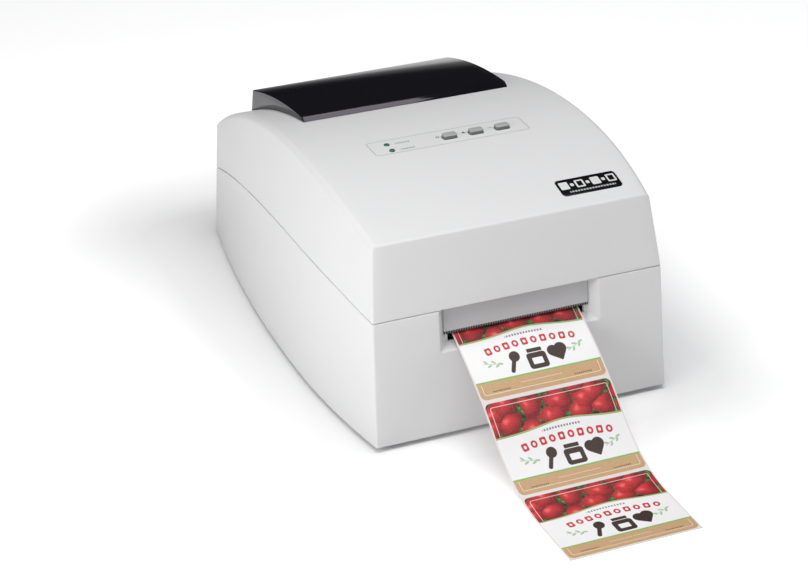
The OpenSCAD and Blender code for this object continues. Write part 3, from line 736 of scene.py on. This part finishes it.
def dome_profile(inset, drop=0.0):
    """The window's outline seen from the side: front facet, arc, rear slope, then back along the crown. inset
    moves the first three inwards, and drop lowers the last."""
    facet_z = FACET_Z - inset * math.hypot(1, FACET_TILT)
    slope_z = SLOPE_Z - inset * math.hypot(1, SLOPE_TILT)
    sink = drop - 0.02

    def front(y):
        return facet_z + (y - FACET_Y) * FACET_TILT

    def rear(y):
        return slope_z - (y - SLOPE_Y) * SLOPE_TILT

    # the four corners, each found by going back and forth between the two curves that meet there
    foot, top, tail, heel = 220.0, 226.0, 336.0, 340.0
    for _ in range(DOME_SETTLE):
        foot = FACET_Y + (crown_z(foot) - sink - facet_z) / FACET_TILT
        top = FACET_Y + (dome_z(top, inset) - facet_z) / FACET_TILT
        tail = SLOPE_Y + (slope_z - dome_z(tail, inset)) / SLOPE_TILT
        heel = SLOPE_Y + (slope_z - crown_z(heel) + sink) / SLOPE_TILT
    arc = [between(top, tail, k / DOME_STEPS) for k in range(DOME_STEPS + 1)]
    slope = [between(tail, heel, k / SLOPE_STEPS) for k in range(1, SLOPE_STEPS + 1)]
    under = [between(heel, foot, k / DOME_STEPS) for k in range(1, DOME_STEPS)]
    points = [(y, front(y)) for y in (foot, (foot + top) / 2)]
    points += [(y, dome_z(y, inset)) for y in arc]
    points += [(y, rear(y)) for y in slope]
    return points + [(y, crown_z(y) - sink) for y in under]


def across_window(name, profile, half):
    return prism(name, profile, lambda u, v, d: at(-half + 2 * half * d, u, v))


def build_window():
    pane = across_window("window_pane", dome_profile(0.0), WINDOW_HW)
    bevel(pane, 0.9, 3, 20)
    boolean(pane, across_window("window_hollow", dome_profile(PANE_T, 6.0), WINDOW_HW - PANE_T))
    return tidy(pane, SOFT_DEG)


def cap_faces(steps, base):
    """Quads straight across a rounded_rect loop, pairing its right and left sides."""
    n = steps + 1
    right = list(range(n - 1, -1, -1)) + list(range(4 * n - 1, 3 * n - 1, -1))
    left = list(range(n, 2 * n)) + list(range(2 * n, 3 * n))
    pairs = list(zip(right, left))
    return [(base + r0, base + r1, base + l1, base + l0) for (r0, l0), (r1, l1) in zip(pairs, pairs[1:])]


def level_top(x, y, height):
    return height


def pad(name, outline, rows, steps, top=level_top):
    """A key-like solid: rows of (height, inset) round an outline function, with its last row roofed over.
    top(x, y, height) says where a height lies."""
    loops = [[(x, y, h) for x, y in outline(-inset)] for h, inset in rows]
    n = len(loops[0])
    verts = [at(x, y, top(x, y, h)) for loop in loops for x, y, h in loop]
    faces = join_loops(in_turn(len(loops)), n) + [tuple(range(n))] + cap_faces(steps, (len(loops) - 1) * n)
    return tidy(make_object(name, verts, faces))


def dome_rows(top, drop, reach, steps, inset=0.0):
    """Rows of a pad's rounded top edge, falling by drop and reaching in by reach."""
    return [(top - drop * (1 - math.sin(a)), inset + reach * (1 - math.cos(a))) for a in arc_steps(steps)[1:]]


def build_button(name, x):
    """A key cap on a flange that sits under the cover."""
    r, draft, top = 0.9, 0.12, BODY_H + 3
    seat, flange = 170.4, 171.9
    rows = [(seat, -1.0), (flange - 0.3, -1.0), (flange, -0.7), (flange, 0.0), (top - r, draft)]
    rows += dome_rows(top, r, r, 5, draft)
    return pad(name + "_cap", lambda grow: button_outline(x, grow), rows, 8)


def build_lens(x, y):
    top, drop = BODY_H + 1.0, 0.8
    rows = [(169.6, 0.0), (top - drop, 0.0)] + dome_rows(top, drop, 1.7, 5)
    return pad("lamp_lens", lambda grow: lamp_outline(x, y, grow), rows, 10)


def build_badge():
    top, r = 0.3, 0.5
    rows = [(-0.9, 0.0), (top - r, 0.0)] + dome_rows(top, r, r, 4)
    return pad("badge", lambda grow: grown(*BADGE, grow, PLATE_R), rows, 6, lambda x, y, h: crown_z(y) + h)


# ---- label web, strip and labels
def path_tables():
    """Slope in degrees against distance from the platen, for the way out and the way back to the roll."""
    dive, hang = math.radians(DIVE_DEG), math.radians(HANG_DEG)
    fall = (DIVE_R * (1 - math.cos(dive)) + DIVE_RUN * math.sin(dive)
            + HANG_R * (math.cos(dive) - math.cos(hang)) + LAND_R * (1 - math.cos(hang)))
    hang_run = (WEB_Z - LINER_T / 2 - 0.05 - fall) / math.sin(hang)
    turns = ((DIVE_R * dive, DIVE_DEG), (DIVE_RUN, DIVE_DEG), (HANG_R * (hang - dive), HANG_DEG),
             (hang_run, HANG_DEG), (LAND_R * hang, 0), (FAR, 0))
    out, s = [(0.0, 0.0)], 0.0
    for run, slope in turns:
        s += run
        out.append((s, slope))
    risen = RISE_RUN + RISE_R * math.radians(RISE_DEG)
    return out, [(0.0, 0.0), (RISE_RUN, 0.0), (risen, RISE_DEG), (FAR, RISE_DEG)]


def look_up(table, s):
    for (s0, a0), (s1, a1) in zip(table, table[1:]):
        if s <= s1:
            return a0 + (a1 - a0) * (s - s0) / (s1 - s0)
    return table[-1][1]


def walk(table, count, way):
    """Points one step apart along the path, by its slope halfway through each step."""
    points = [(PLATEN_Y, WEB_Z)]
    for i in range(count):
        a = math.radians(look_up(table, (i + 0.5) * STEP))
        y, z = points[-1]
        points.append((y + way * STEP * math.cos(a), z - STEP * math.sin(a)))
    return points


OUT_TABLE, BACK_TABLE = path_tables()
PATH_OUT, PATH_BACK = walk(OUT_TABLE, 170, -1), walk(BACK_TABLE, 141, 1)


def path_at(i, h, x=0.0):
    """A point of the label path, i steps from the platen (negative towards the roll), h above its middle."""
    points = PATH_BACK if i < 0 else PATH_OUT
    k = abs(i)
    j = min(int(k), len(points) - 2)
    (y0, z0), (y1, z1) = points[j], points[j + 1]
    way = -1 if i < 0 else 1
    dy, dz = (y1 - y0) * way, (z1 - z0) * way
    size = math.hypot(dy, dz)
    return at(x, between(y0, y1, k - j) + h * dz / size, between(z0, z1, k - j) - h * dy / size)


def band(name, i0, i1, half, low, high, corner=0.0, columns=10, origin=None):
    """A strip along the path with real thickness, and rounded corners where asked. Its UVs run from 0 to 1
    across, and from 0 at its start (or at origin, where it is cut short) to 1 at its far end."""
    origin = i0 if origin is None else origin
    turns = [corner / STEP * (1 - math.cos(a)) for a in arc_steps(5)[1:]] if corner else []
    margin = corner / STEP * 1.05
    count = max(2, int(i1 - i0))
    inner = [between(i0, i1, k / count) for k in range(1, count)]
    stations = [i0] + [i0 + turn for turn in turns]
    stations += [i for i in inner if i0 + margin < i < i1 - margin]
    stations += [i1 - turn for turn in reversed(turns)] + [i1]
    rows = []
    for i in stations:
        gone = max(corner - min(i - i0, i1 - i) * STEP, 0.0)
        hw = half - (corner - math.sqrt(max(corner ** 2 - gone ** 2, 0)))
        rows.append([hw * (2 * m / columns - 1) for m in range(columns + 1)])
    verts, coords = [], []
    for h in (high, low):
        for i, row in zip(stations, rows):
            for x in row:
                verts.append(path_at(i, h, x))
                coords.append(((x + half) / (2 * half), (i - origin) / (i1 - origin)))
    # two sheets of quads, the lower one facing down, and a rim round their edges
    count, wide = len(stations), columns + 1
    faces = grid_faces(count, wide) + grid_faces(count, wide, count * wide, True)
    shift = count * wide
    rim = [r * wide for r in range(count)] + [(count - 1) * wide + c for c in range(1, wide)]
    rim += [r * wide + columns for r in range(count - 2, -1, -1)] + list(range(columns - 1, 0, -1))
    faces += [(a, b, b + shift, a + shift) for a, b in zip(rim, rim[1:] + rim[:1])]
    obj = make_object(name, verts, faces)
    layer = obj.data.uv_layers.new(name="UVMap")
    for loop in obj.data.loops:
        layer.data[loop.index].uv = coords[loop.vertex_index]
    return tidy(obj, SOFT_DEG, None)


# ---- printed, patterned and smoked materials
def box_distance(x, y, cx, cy, hx, hy, r=0.0):
    """Signed distance from a rectangle given by its centre, half sizes and corner radius."""
    dx, dy = abs(x - cx) - (hx - r), abs(y - cy) - (hy - r)
    ox, oy = dx.most(0.0), dy.most(0.0)
    return length(ox, oy) + dx.most(dy).least(0.0) - r


def disc_distance(x, y, cx, cy, rx, ry=None):
    """About the signed distance from an ellipse."""
    ry = ry or rx
    u, v = (x - cx) * (1 / rx), (y - cy) * (1 / ry)
    return (length(u, v) - 1.0) * min(rx, ry)


def turned(x, y, cx, cy, degrees):
    """Coordinates about a centre, in axes turned by an angle."""
    c, s = math.cos(math.radians(degrees)), math.sin(math.radians(degrees))
    dx, dy = x - cx, y - cy
    return dx * c + dy * s, dy * c - dx * s


def berries(g, field, x, y):
    """Tapered berries, one per cell, lit from the upper left, with pips, over dark leaves."""
    warp = g.noise(field, 0.09, 1, 0.4, "2D")
    bent = g.combine(x * 0.055 + warp * 0.5, y * 0.066 - warp * 0.4)
    cells = g.voronoi(bent, 1.0, randomness=0.72)
    px, py, _ = g.split(cells.outputs["Position"])
    bx, by, _ = g.split(bent)
    lx, ly = bx - px, by - py
    taper = lx * (1.0 + (ly + 0.1) * 1.5)
    body = (taper * taper * 1.25 + (ly - 0.03) * (ly - 0.03) * 0.85).power(0.5)
    lit = clamp(1.0 - length(lx + 0.13, ly + 0.17) * 1.7)
    tone = g.noise(field, 0.12, 2, 0.5, "2D")
    red = g.mix(lit, (0.20, 0.003, 0.008), (0.80, 0.035, 0.045))
    red = g.mix(clamp(lit * 2.6 - 1.85) * (0.2 + tone * 0.6), red, (1.0, 0.40, 0.38))
    pips = g.voronoi(g.combine(x * 0.7, y * 0.55), 1.0, randomness=0.75)
    red = g.mix(clamp(2.0 - Wire(g, pips.outputs["Distance"]) * 12.0) * 0.32, red, (0.9, 0.34, 0.16))
    leaf = g.ramp(g.noise(field, 0.22, 3, 0.6, "2D"), (0.35, (0.010, 0.012, 0.006)),
                  (0.55, (0.03, 0.12, 0.02)), (0.72, (0.16, 0.36, 0.08)))
    return g.mix(clamp((0.72 - body + (tone - 0.5) * 0.12) * 16.0), leaf, red)


ARC_X, ARC_Y, ARC_R = 2.5, 247.6, 212.0
MARK_PITCH, MARK_SPAN, MARK_SHIFT = 7.6, 5.0, 50.0
JAR_X, SPOON_AT, HEART_AT, HEART_HALF = 3.0, (-15.5, 50.6, 24), (21.0, 51.0, 35), 4.8
SPRIGS = ((-33.0, 49.0, 12), (34.5, 48.5, -24))
LEAVES = ((-4.6, -1.5, 35), (-1.6, 1.7, -35), (1.6, -1.7, 35), (4.4, 1.4, -35), (7.0, -0.4, 5))
EDGE_AT, GREEN_LINE, KRAFT_LINE = 27.2, 61.9, 63.2


def arc_marks(g, x, y, art):
    """Ten plain marks, boxes and rings by turns, along a shallow arc, and a line of dashes above them."""
    radius = length(x - ARC_X, y - ARC_Y)
    turn = g.math("ARCTAN2", x - ARC_X, ARC_Y - y) * (ARC_R / MARK_PITCH)
    along = (g.math("FRACT", turn + MARK_SHIFT) - 0.5) * MARK_PITCH
    odd = g.math("MODULO", g.math("FLOOR", turn + MARK_SHIFT), 2.0)
    tall = box_distance(along, radius, 0.0, ARC_R, 2.5, 3.1, 1.1)
    wide = disc_distance(along, radius, 0.0, ARC_R, 2.6, 3.0)
    hole = disc_distance(along, radius, 0.0, ARC_R, 1.1, 1.4)
    marks = inside(tall * odd + wide * (1.0 - odd)) * (1.0 - inside(hole)) * abs(turn).below(MARK_SPAN)
    art = g.mix(marks, art, (0.60, 0.022, 0.03))
    dashes = abs(g.math("FRACT", turn * 3.4) - 0.5).below(0.30) * inside(abs(radius - (ARC_R + 7.4)) - 0.8)
    return g.mix(dashes * abs(x - 1.0).below(15.5) * 0.8, art, (0.05, 0.05, 0.06))


def pictograms(g, field, x, y, art):
    """A jar with a blank label, a spoon, a heart, and a sprig to each side."""
    jar = box_distance(x, y, JAR_X, 53.4, 7.8, 6.8, 2.6).least(box_distance(x, y, JAR_X, 44.4, 6.0, 1.6, 0.6))
    label = box_distance(x, y, JAR_X, 53.8, 4.2, 2.7, 0.6)
    sx, sy = turned(x, y, *SPOON_AT)
    spoon = disc_distance(sx, sy, 0.0, -4.4, 4.2, 4.6).least(box_distance(sx, sy, 0.0, 4.0, 1.6, 5.8, 1.5))
    hx, hy = turned(x, y, *HEART_AT)
    heart = box_distance(hx, hy, 0.0, 0.0, HEART_HALF, HEART_HALF, 0.6)
    heart = heart.least(disc_distance(hx, hy, -4.6, 0.0, 4.7)).least(disc_distance(hx, hy, 0.0, -4.6, 4.7))
    brown = g.mix(g.noise(field, 0.5, 2, 0.5, "2D"), (0.026, 0.012, 0.007), (0.052, 0.026, 0.016))
    shapes = (inside(jar) * (1.0 - inside(label))).most(inside(spoon)).most(inside(heart))
    art = g.mix(shapes, art, brown)
    for sprig_at in SPRIGS:
        tx, ty = turned(x, y, *sprig_at)
        sprig = abs(ty) - 0.25 + abs(tx).above(6.5) * 9.0
        for leaf_at in LEAVES:
            ex, ey = turned(tx, ty, *leaf_at)
            sprig = sprig.least(disc_distance(ex, ey, 0.0, 0.0, 2.0, 0.85))
        art = g.mix(inside(sprig) * 0.75, art, (0.20, 0.46, 0.13))
    return art


def kraft_band(g, x, y):
    """Brown paper with fine fibres, two dark dash lines and a pale one."""
    fibre = g.noise(g.combine(x * 0.25, y * 1.6), 1.0, 4, 0.6, "2D")
    kraft = g.mix(fibre, (0.50, 0.30, 0.14), (0.66, 0.44, 0.24))
    tick = abs(g.math("FRACT", x * 0.62) - 0.5).below(0.33)
    dark = inside(abs(y - 70.8) - 0.45) * tick * abs(abs(x) - 33.0).below(7.5)
    pale = inside(abs(y - 68.0) - 0.4) * tick * abs(x).below(17.0)
    kraft = g.mix(dark * 0.85, kraft, (0.03, 0.025, 0.02))
    return g.mix(pale * 0.55, kraft, (0.9, 0.82, 0.7))


def label_art():
    """A printed label: berries over a white field with pictograms, and a kraft band below. x runs across from
    the middle and y along from the label's first edge, both in mm."""
    g = Graph("printed_label")
    u, v, _ = g.split(g.coords("UV"))
    x, y = (u - 0.5) * LABEL_W, v * LABEL_H
    field = g.combine(x, y)
    picture = berries(g, field, x, y)
    art = g.mix(g.noise(field, 0.05, 3, 0.6, "2D"), (0.93, 0.92, 0.92), (0.88, 0.875, 0.885))
    art = pictograms(g, field, x, y, arc_marks(g, x, y, art))

    # the picture's wavy lower edge, with its tan and green lines
    wave = g.math("EXPONENT", (x - 5.0) * (x - 5.0) * (-1.0 / 720.0))
    edge = y - EDGE_AT + wave * 4.8
    art = g.mix(inside(abs(edge - 0.5) - 0.75), art, (0.50, 0.42, 0.20))
    art = g.mix(inside(abs(edge - 0.9) - 0.38), art, (0.25, 0.50, 0.12))
    art = g.mix(inside(edge), art, picture)
    art = g.mix(inside(GREEN_LINE - y), art, (0.22, 0.50, 0.10))
    art = g.mix(inside(KRAFT_LINE - y), art, kraft_band(g, x, y))

    # a thin pale frame over the picture and the band
    frame_line = abs(box_distance(x, y, 0.0, LABEL_H / 2, 47.3, 34.6, 1.5)) - 0.22
    shown = inside(edge + 0.4).most(inside(KRAFT_LINE + 0.8 - y))
    art = g.mix(inside(frame_line) * shown * 0.8, art, (0.95, 0.88, 0.80))
    g.bump(g.noise(g.coords(), 700, 3), 0.08, 0.00005)
    return g.set(Base_Color=art, Roughness=0.48 + 0.1 * g.noise(g.coords(), 120, 2))


def paper(name, colour, roughness=0.62):
    """Paper or card with fine fibres."""
    g = Graph(name)
    place = g.coords()
    fibres = g.noise(place, 900, 4, 0.65)
    g.bump(fibres, 0.12, 0.00006)
    return g.set(Base_Color=g.mottle(place, 40, 3, colour, 0.985, 1.015),
                 Roughness=roughness - 0.05 + 0.1 * fibres)


def wound_paper(name):
    """The roll: paper on its round face, and the fine rings of its turns on its ends."""
    g = Graph(name)
    _, y, z = g.split(g.coords())
    radius = length(y - (ROLL_Y + SHIFT_Y) * MM, z - ROLL_Z * MM)
    rings = g.noise(g.combine(radius * 2600.0, 0.0), 1.0, 3, 0.7, "2D")
    fibres = g.noise(g.coords(), 700, 3)
    g.bump(rings * 0.7 + fibres * 0.3, 0.35, 0.0001)
    return g.set(Base_Color=g.mix(rings, (0.62, 0.58, 0.54), (0.86, 0.84, 0.81)),
                 Roughness=0.62 + 0.1 * fibres)


def circuit_board(name):
    """Solder mask with raised tracks and tinned pads."""
    g = Graph(name)
    place = g.coords()
    tracks = g.voronoi(place, 260, "DISTANCE_TO_EDGE", "3D", 0.25)
    track = clamp(1.0 - Wire(g, tracks.outputs["Distance"]) * 9.0)
    pads = g.voronoi(place, 330, "F1", "3D", 0.4)
    pad_mask = clamp(1.6 - Wire(g, pads.outputs["Distance"]) * 6.0)
    colour = g.mix(track, (0.012, 0.10, 0.035), (0.03, 0.20, 0.07))
    colour = g.mix(pad_mask * 0.8, colour, (0.55, 0.52, 0.42))
    g.bump(track, 0.2, 0.0001)
    return g.set(Base_Color=colour, Roughness=0.35 + 0.2 * g.noise(place, 200, 2))


SATIN_Y, SATIN_HW = 262, 87.1


def smoked(name):
    """Smoked glossy plastic that lets through a little of what is behind it. Its gloss is lowered along its
    end edges, and more and more towards its rear."""
    g = Graph(name)
    place = g.coords()
    g.bump(g.noise(place, 14, 2), 0.05, 0.0008)
    fine = g.noise(place, 500, 2)
    wx, wy, _ = g.split(place)
    rim = abs(abs(wx * PER_M) - (WINDOW_HW - 0.5)).below(0.42)
    satin = clamp((wy * PER_M - (SATIN_Y + SHIFT_Y)) * 0.03) * abs(wx * PER_M).below(SATIN_HW)
    return g.set(Base_Color=g.mix(g.noise(place, 30, 2), (0.007, 0.0065, 0.0095), (0.010, 0.009, 0.0125)),
                 Roughness=0.055 + 0.05 * fine, IOR=1.5, Specular_Tint=(0.96, 0.84, 1.0, 1), Alpha=0.93,
                 Specular_IOR_Level=0.5 - (rim * 0.45).most(satin * 0.44))


INK_EDGE, ICON_Y = 0.2, 143.6


def panel_film(name):
    """The control panel's film: a fine keyline and small pictograms beside the lamps and buttons."""
    g = Graph(name)
    wx, wy, _ = g.split(g.coords())
    x, y = wx * PER_M, wy * PER_M - SHIFT_Y
    keyline = abs(box_distance(x, y, 0.0, (PANEL[2] + PANEL[3]) / 2, 63.9, 11.3, 2.6)) - 0.3
    ink = inside(keyline, INK_EDGE) * 0.42
    for lx, ly in LAMPS:
        row = abs(y - ly) - 0.8
        ticks = abs(g.math("FRACT", x * 0.55) - 0.5).below(0.34)
        ink = ink.most(inside(row, INK_EDGE) * ticks * abs(x - (lx + 13.0)).below(6.0) * 0.75)
    pause = box_distance(x, y, -9.4, ICON_Y, 0.45, 1.2).least(box_distance(x, y, -7.8, ICON_Y, 0.45, 1.2))
    fx, fy = x - 13.2, y - ICON_Y
    feed = (abs(fx) * 0.85 + fy * 0.5 - 0.9).most(0.0 - fy - 1.3)
    cut = box_distance(x, y, 35.4, ICON_Y, 1.8, 0.3)
    for icon in (pause, feed, cut):
        ink = ink.most(inside(icon, INK_EDGE))
    place = g.coords()
    colour = g.mottle(place, 9, 3, WHITE, 0.985, 1.0)
    g.bump(g.noise(place, 2200, 2), 0.12, 0.00005)
    return g.set(Base_Color=g.mix(ink, colour, (0.10, 0.10, 0.11)),
                 Roughness=0.3 + 0.08 * g.noise(place, 60, 3))


TOOTH_PITCH, COMB_TOP = 2.0, 80.7


def comb_panel(name):
    """The exit recess's back panel, in a paler grey than the grey plastic as painted light against the
    recess's shade, with painted shade of the slot in a comb pattern along its lower edge.
    """
    g = Graph(name)
    place = g.coords()
    x, _, z = g.split(place)
    comb = abs(g.math("FRACT", x * (PER_M / TOOTH_PITCH)) - 0.5).below(0.36)
    # painted shade: the slot's shade, painted dark up to COMB_TOP and deepened in the comb pattern
    low = inside(z * PER_M - COMB_TOP, 0.4)
    # painted light: a lighter grey than the grey plastic, to offset the shade in the recess
    colour = g.mix(g.noise(place, 9, 3), (0.60, 0.60, 0.615), (0.63, 0.63, 0.645))
    g.bump(g.noise(place, 1400, 2), 0.25, 0.00006)
    return g.set(Base_Color=g.mix(low * (0.55 + comb * 0.45), colour, (0.02, 0.02, 0.022)),
                 Roughness=0.42 + 0.08 * g.noise(place, 60, 3))


TILE_HALVES, TILE_PITCH, OUTLINED = (3.6, 1.4, 3.6, 1.4, 3.6, 1.4, 3.6), 6.5, (2, 6)


def badge_face(name):
    """Gloss black with a row of plain tiles, some of them outlined, over a line of dashes."""
    g = Graph(name)
    wx, wy, _ = g.split(g.coords())
    cx, cy = (BADGE[0] + BADGE[1]) / 2, (BADGE[2] + BADGE[3]) / 2
    x, y = wx * PER_M - cx, wy * PER_M - (cy + SHIFT_Y)
    dashes = abs(g.math("FRACT", x * 0.42) - 0.5).below(0.36)
    ink = inside(box_distance(x, y, 1.0, -5.6, 19.0, 0.8), INK_EDGE) * dashes * 0.7
    for k, half in enumerate(TILE_HALVES):
        high = 4.1 if half > 2 else 1.6
        tile = box_distance(x, y, -19.5 + TILE_PITCH * k, 1.8, half, high, 0.9)
        if k in OUTLINED:
            tile = abs(tile + 0.7) - 0.7
        ink = ink.most(inside(tile, INK_EDGE))
    place = g.coords()
    g.bump(g.noise(place, 400, 2), 0.03, 0.0001)
    return g.set(Base_Color=g.mix(ink, (0.006, 0.006, 0.007), (0.78, 0.78, 0.78)),
                 Roughness=0.16 + 0.06 * g.noise(place, 80, 2), Coat_Weight=0.5)


# ---- the printer's visible pieces
by_slot = {slot: moulded(slot, *look) for slot, look in MOULDED.items()}
by_slot.update({slot: sheet_metal(slot, *look) for slot, look in METAL.items()})
by_slot.update({slot: soft_rubber(slot, colour) for slot, colour in RUBBER.items()})
by_slot.update({
    "button_plastic": key_plastic("button_plastic", KEY_TOP, KEY_FLANK, KEY_EDGE_Z),
    "board_green": circuit_board("circuit_board"),
    "smoked_plastic": smoked("smoked_plastic"),
    "liner_paper": paper("liner_paper", (0.80, 0.745, 0.72)),
    "label_paper": paper("label_paper", (0.90, 0.90, 0.89), 0.45),
    "card": paper("card", (0.42, 0.28, 0.16), 0.8),
})
by_node = {
    "exit_panel": comb_panel("exit_panel_face"),
    "label_roll": wound_paper("wound_labels"),
    "panel_overlay": panel_film("panel_overlay_film"),
}
slot_of = {part["node"]: part["material_slot"] for part in frame["record"]["subparts"]}
for node, obj in frame["nodes"].items():
    obj.data.materials.clear()
    obj.data.materials.append(by_node.get(node, by_slot[slot_of[node]]))

piece(build_housing(), "base", "white_plastic", "lower_housing")
piece(build_cover(), "cover", "white_plastic", "top_cover")
piece(build_window(), "cover", "smoked_plastic", "window")
for node, x in BUTTON_XS.items():
    piece(build_button(node, x), node, "button_plastic", node)
for x, y in LAMPS:
    piece(build_lens(x, y), "cover", "lamp_green", "lamp_lenses")
piece(build_badge(), "cover", "badge_black", "badge_plate", badge_face("badge_face"))

for name, node, start, end in (("strip", "printed_strip", STRIP_START, STRIP_END),
                               ("web", "label_web", WEB_START, WEB_END)):
    piece(band(name, start, end, STRIP_HW, -LINER_T / 2, LINER_T / 2), "base", "liner_paper", node)
printed = label_art()
for k in range(LABEL_COUNT):
    start = FIRST_LABEL + k * (LABEL_STEPS + GAP_STEPS)
    label = band("printed_label_%d" % (k + 1), max(start, LABEL_CUT), start + LABEL_STEPS, LABEL_HW,
                 LINER_T / 2, LINER_T / 2 + LABEL_T, LABEL_R, 24, start)
    piece(label, "base", "label_paper", "printed_labels", printed)


# ---- floor, light and camera
def beyond(distance, half):
    """How far a coordinate lies outside a half size."""
    return (abs(distance) - half).most(0.0)


def studio_floor(name):
    """Pale matt floor with a faint glow of painted light. The glow is kept low round the printer, so that the
    ground there stays darker as painted shade, grows away from the printer and fades out behind the camera's
    view.
    """
    # the printer's half sizes and centre, where the glow starts to grow, and where it starts to fade, in m
    half_x, half_y, centre_y, grows, fades = 0.13, 0.19, 0.09, 0.04, 1.12
    g = Graph(name)
    place = g.coords()
    x, y, _ = g.split(place)
    # painted light: the floor's glow, low next to the printer as painted shade and rising away from it
    away = clamp((length(beyond(x, half_x), beyond(y - centre_y, half_y)) - grows) * 8.0)
    near = clamp(1.0 - (length(x, y) - fades) * 4.0)
    g.bump(g.noise(place, 60, 3), 0.03, 0.0005)
    return g.set(Base_Color=g.mix(g.noise(place, 3, 2), (0.90, 0.90, 0.905), (0.92, 0.92, 0.92)),
                 Roughness=0.6, Emission_Color=(1, 1, 1, 1), Emission_Strength=(0.06 + away * 0.42) * near)


floor = make_object("floor", [(-6, -4, 0), (6, -4, 0), (6, 9, 0), (-6, 9, 0)], [(0, 1, 2, 3)])
floor.data.materials.append(studio_floor("studio_floor"))

world = bpy.data.worlds.new("studio")
bpy.context.scene.world = world
world.use_nodes = True
sky = world.node_tree.nodes["Background"]
sky.inputs["Color"].default_value = (0.9, 0.93, 1.0, 1)
sky.inputs["Strength"].default_value = 0.015


def softbox(name, place, target, wide, high, power, colour=(1, 1, 1)):
    light = bpy.data.lights.new(name, "AREA")
    light.shape = "RECTANGLE"
    light.size, light.size_y = wide, high
    light.energy = power
    light.color = colour
    obj = add_object(name, light)
    obj.location = place
    obj.rotation_euler = (Vector(target) - Vector(place)).to_track_quat("-Z", "Y").to_euler()


softbox("overhead", (-0.14, -0.25, 1.9), (-0.14, -0.1, 0), 1.84, 1.4, 31.5)
softbox("left", (-0.74, -0.33, 0.42), (-0.1, -0.05, 0.08), 0.4, 0.4, 2.75)
softbox("right", (1.6, -0.5, 1.0), (0, 0, 0.1), 1.0, 1.0, 5.0, (0.93, 0.95, 1.0))

camera = bpy.data.cameras.new("camera")
camera.sensor_width = 36.0
camera.lens = 111.39
camera.clip_end = 50
view = add_object("camera", camera)
view.location = at(-720.7, -1444.4, 973.5)
view.rotation_euler = Vector((0.34886, 0.80947, -0.47228)).to_track_quat("-Z", "Y").to_euler()
bpy.context.scene.camera = view
bpy.context.scene.view_settings.view_transform = "Standard"
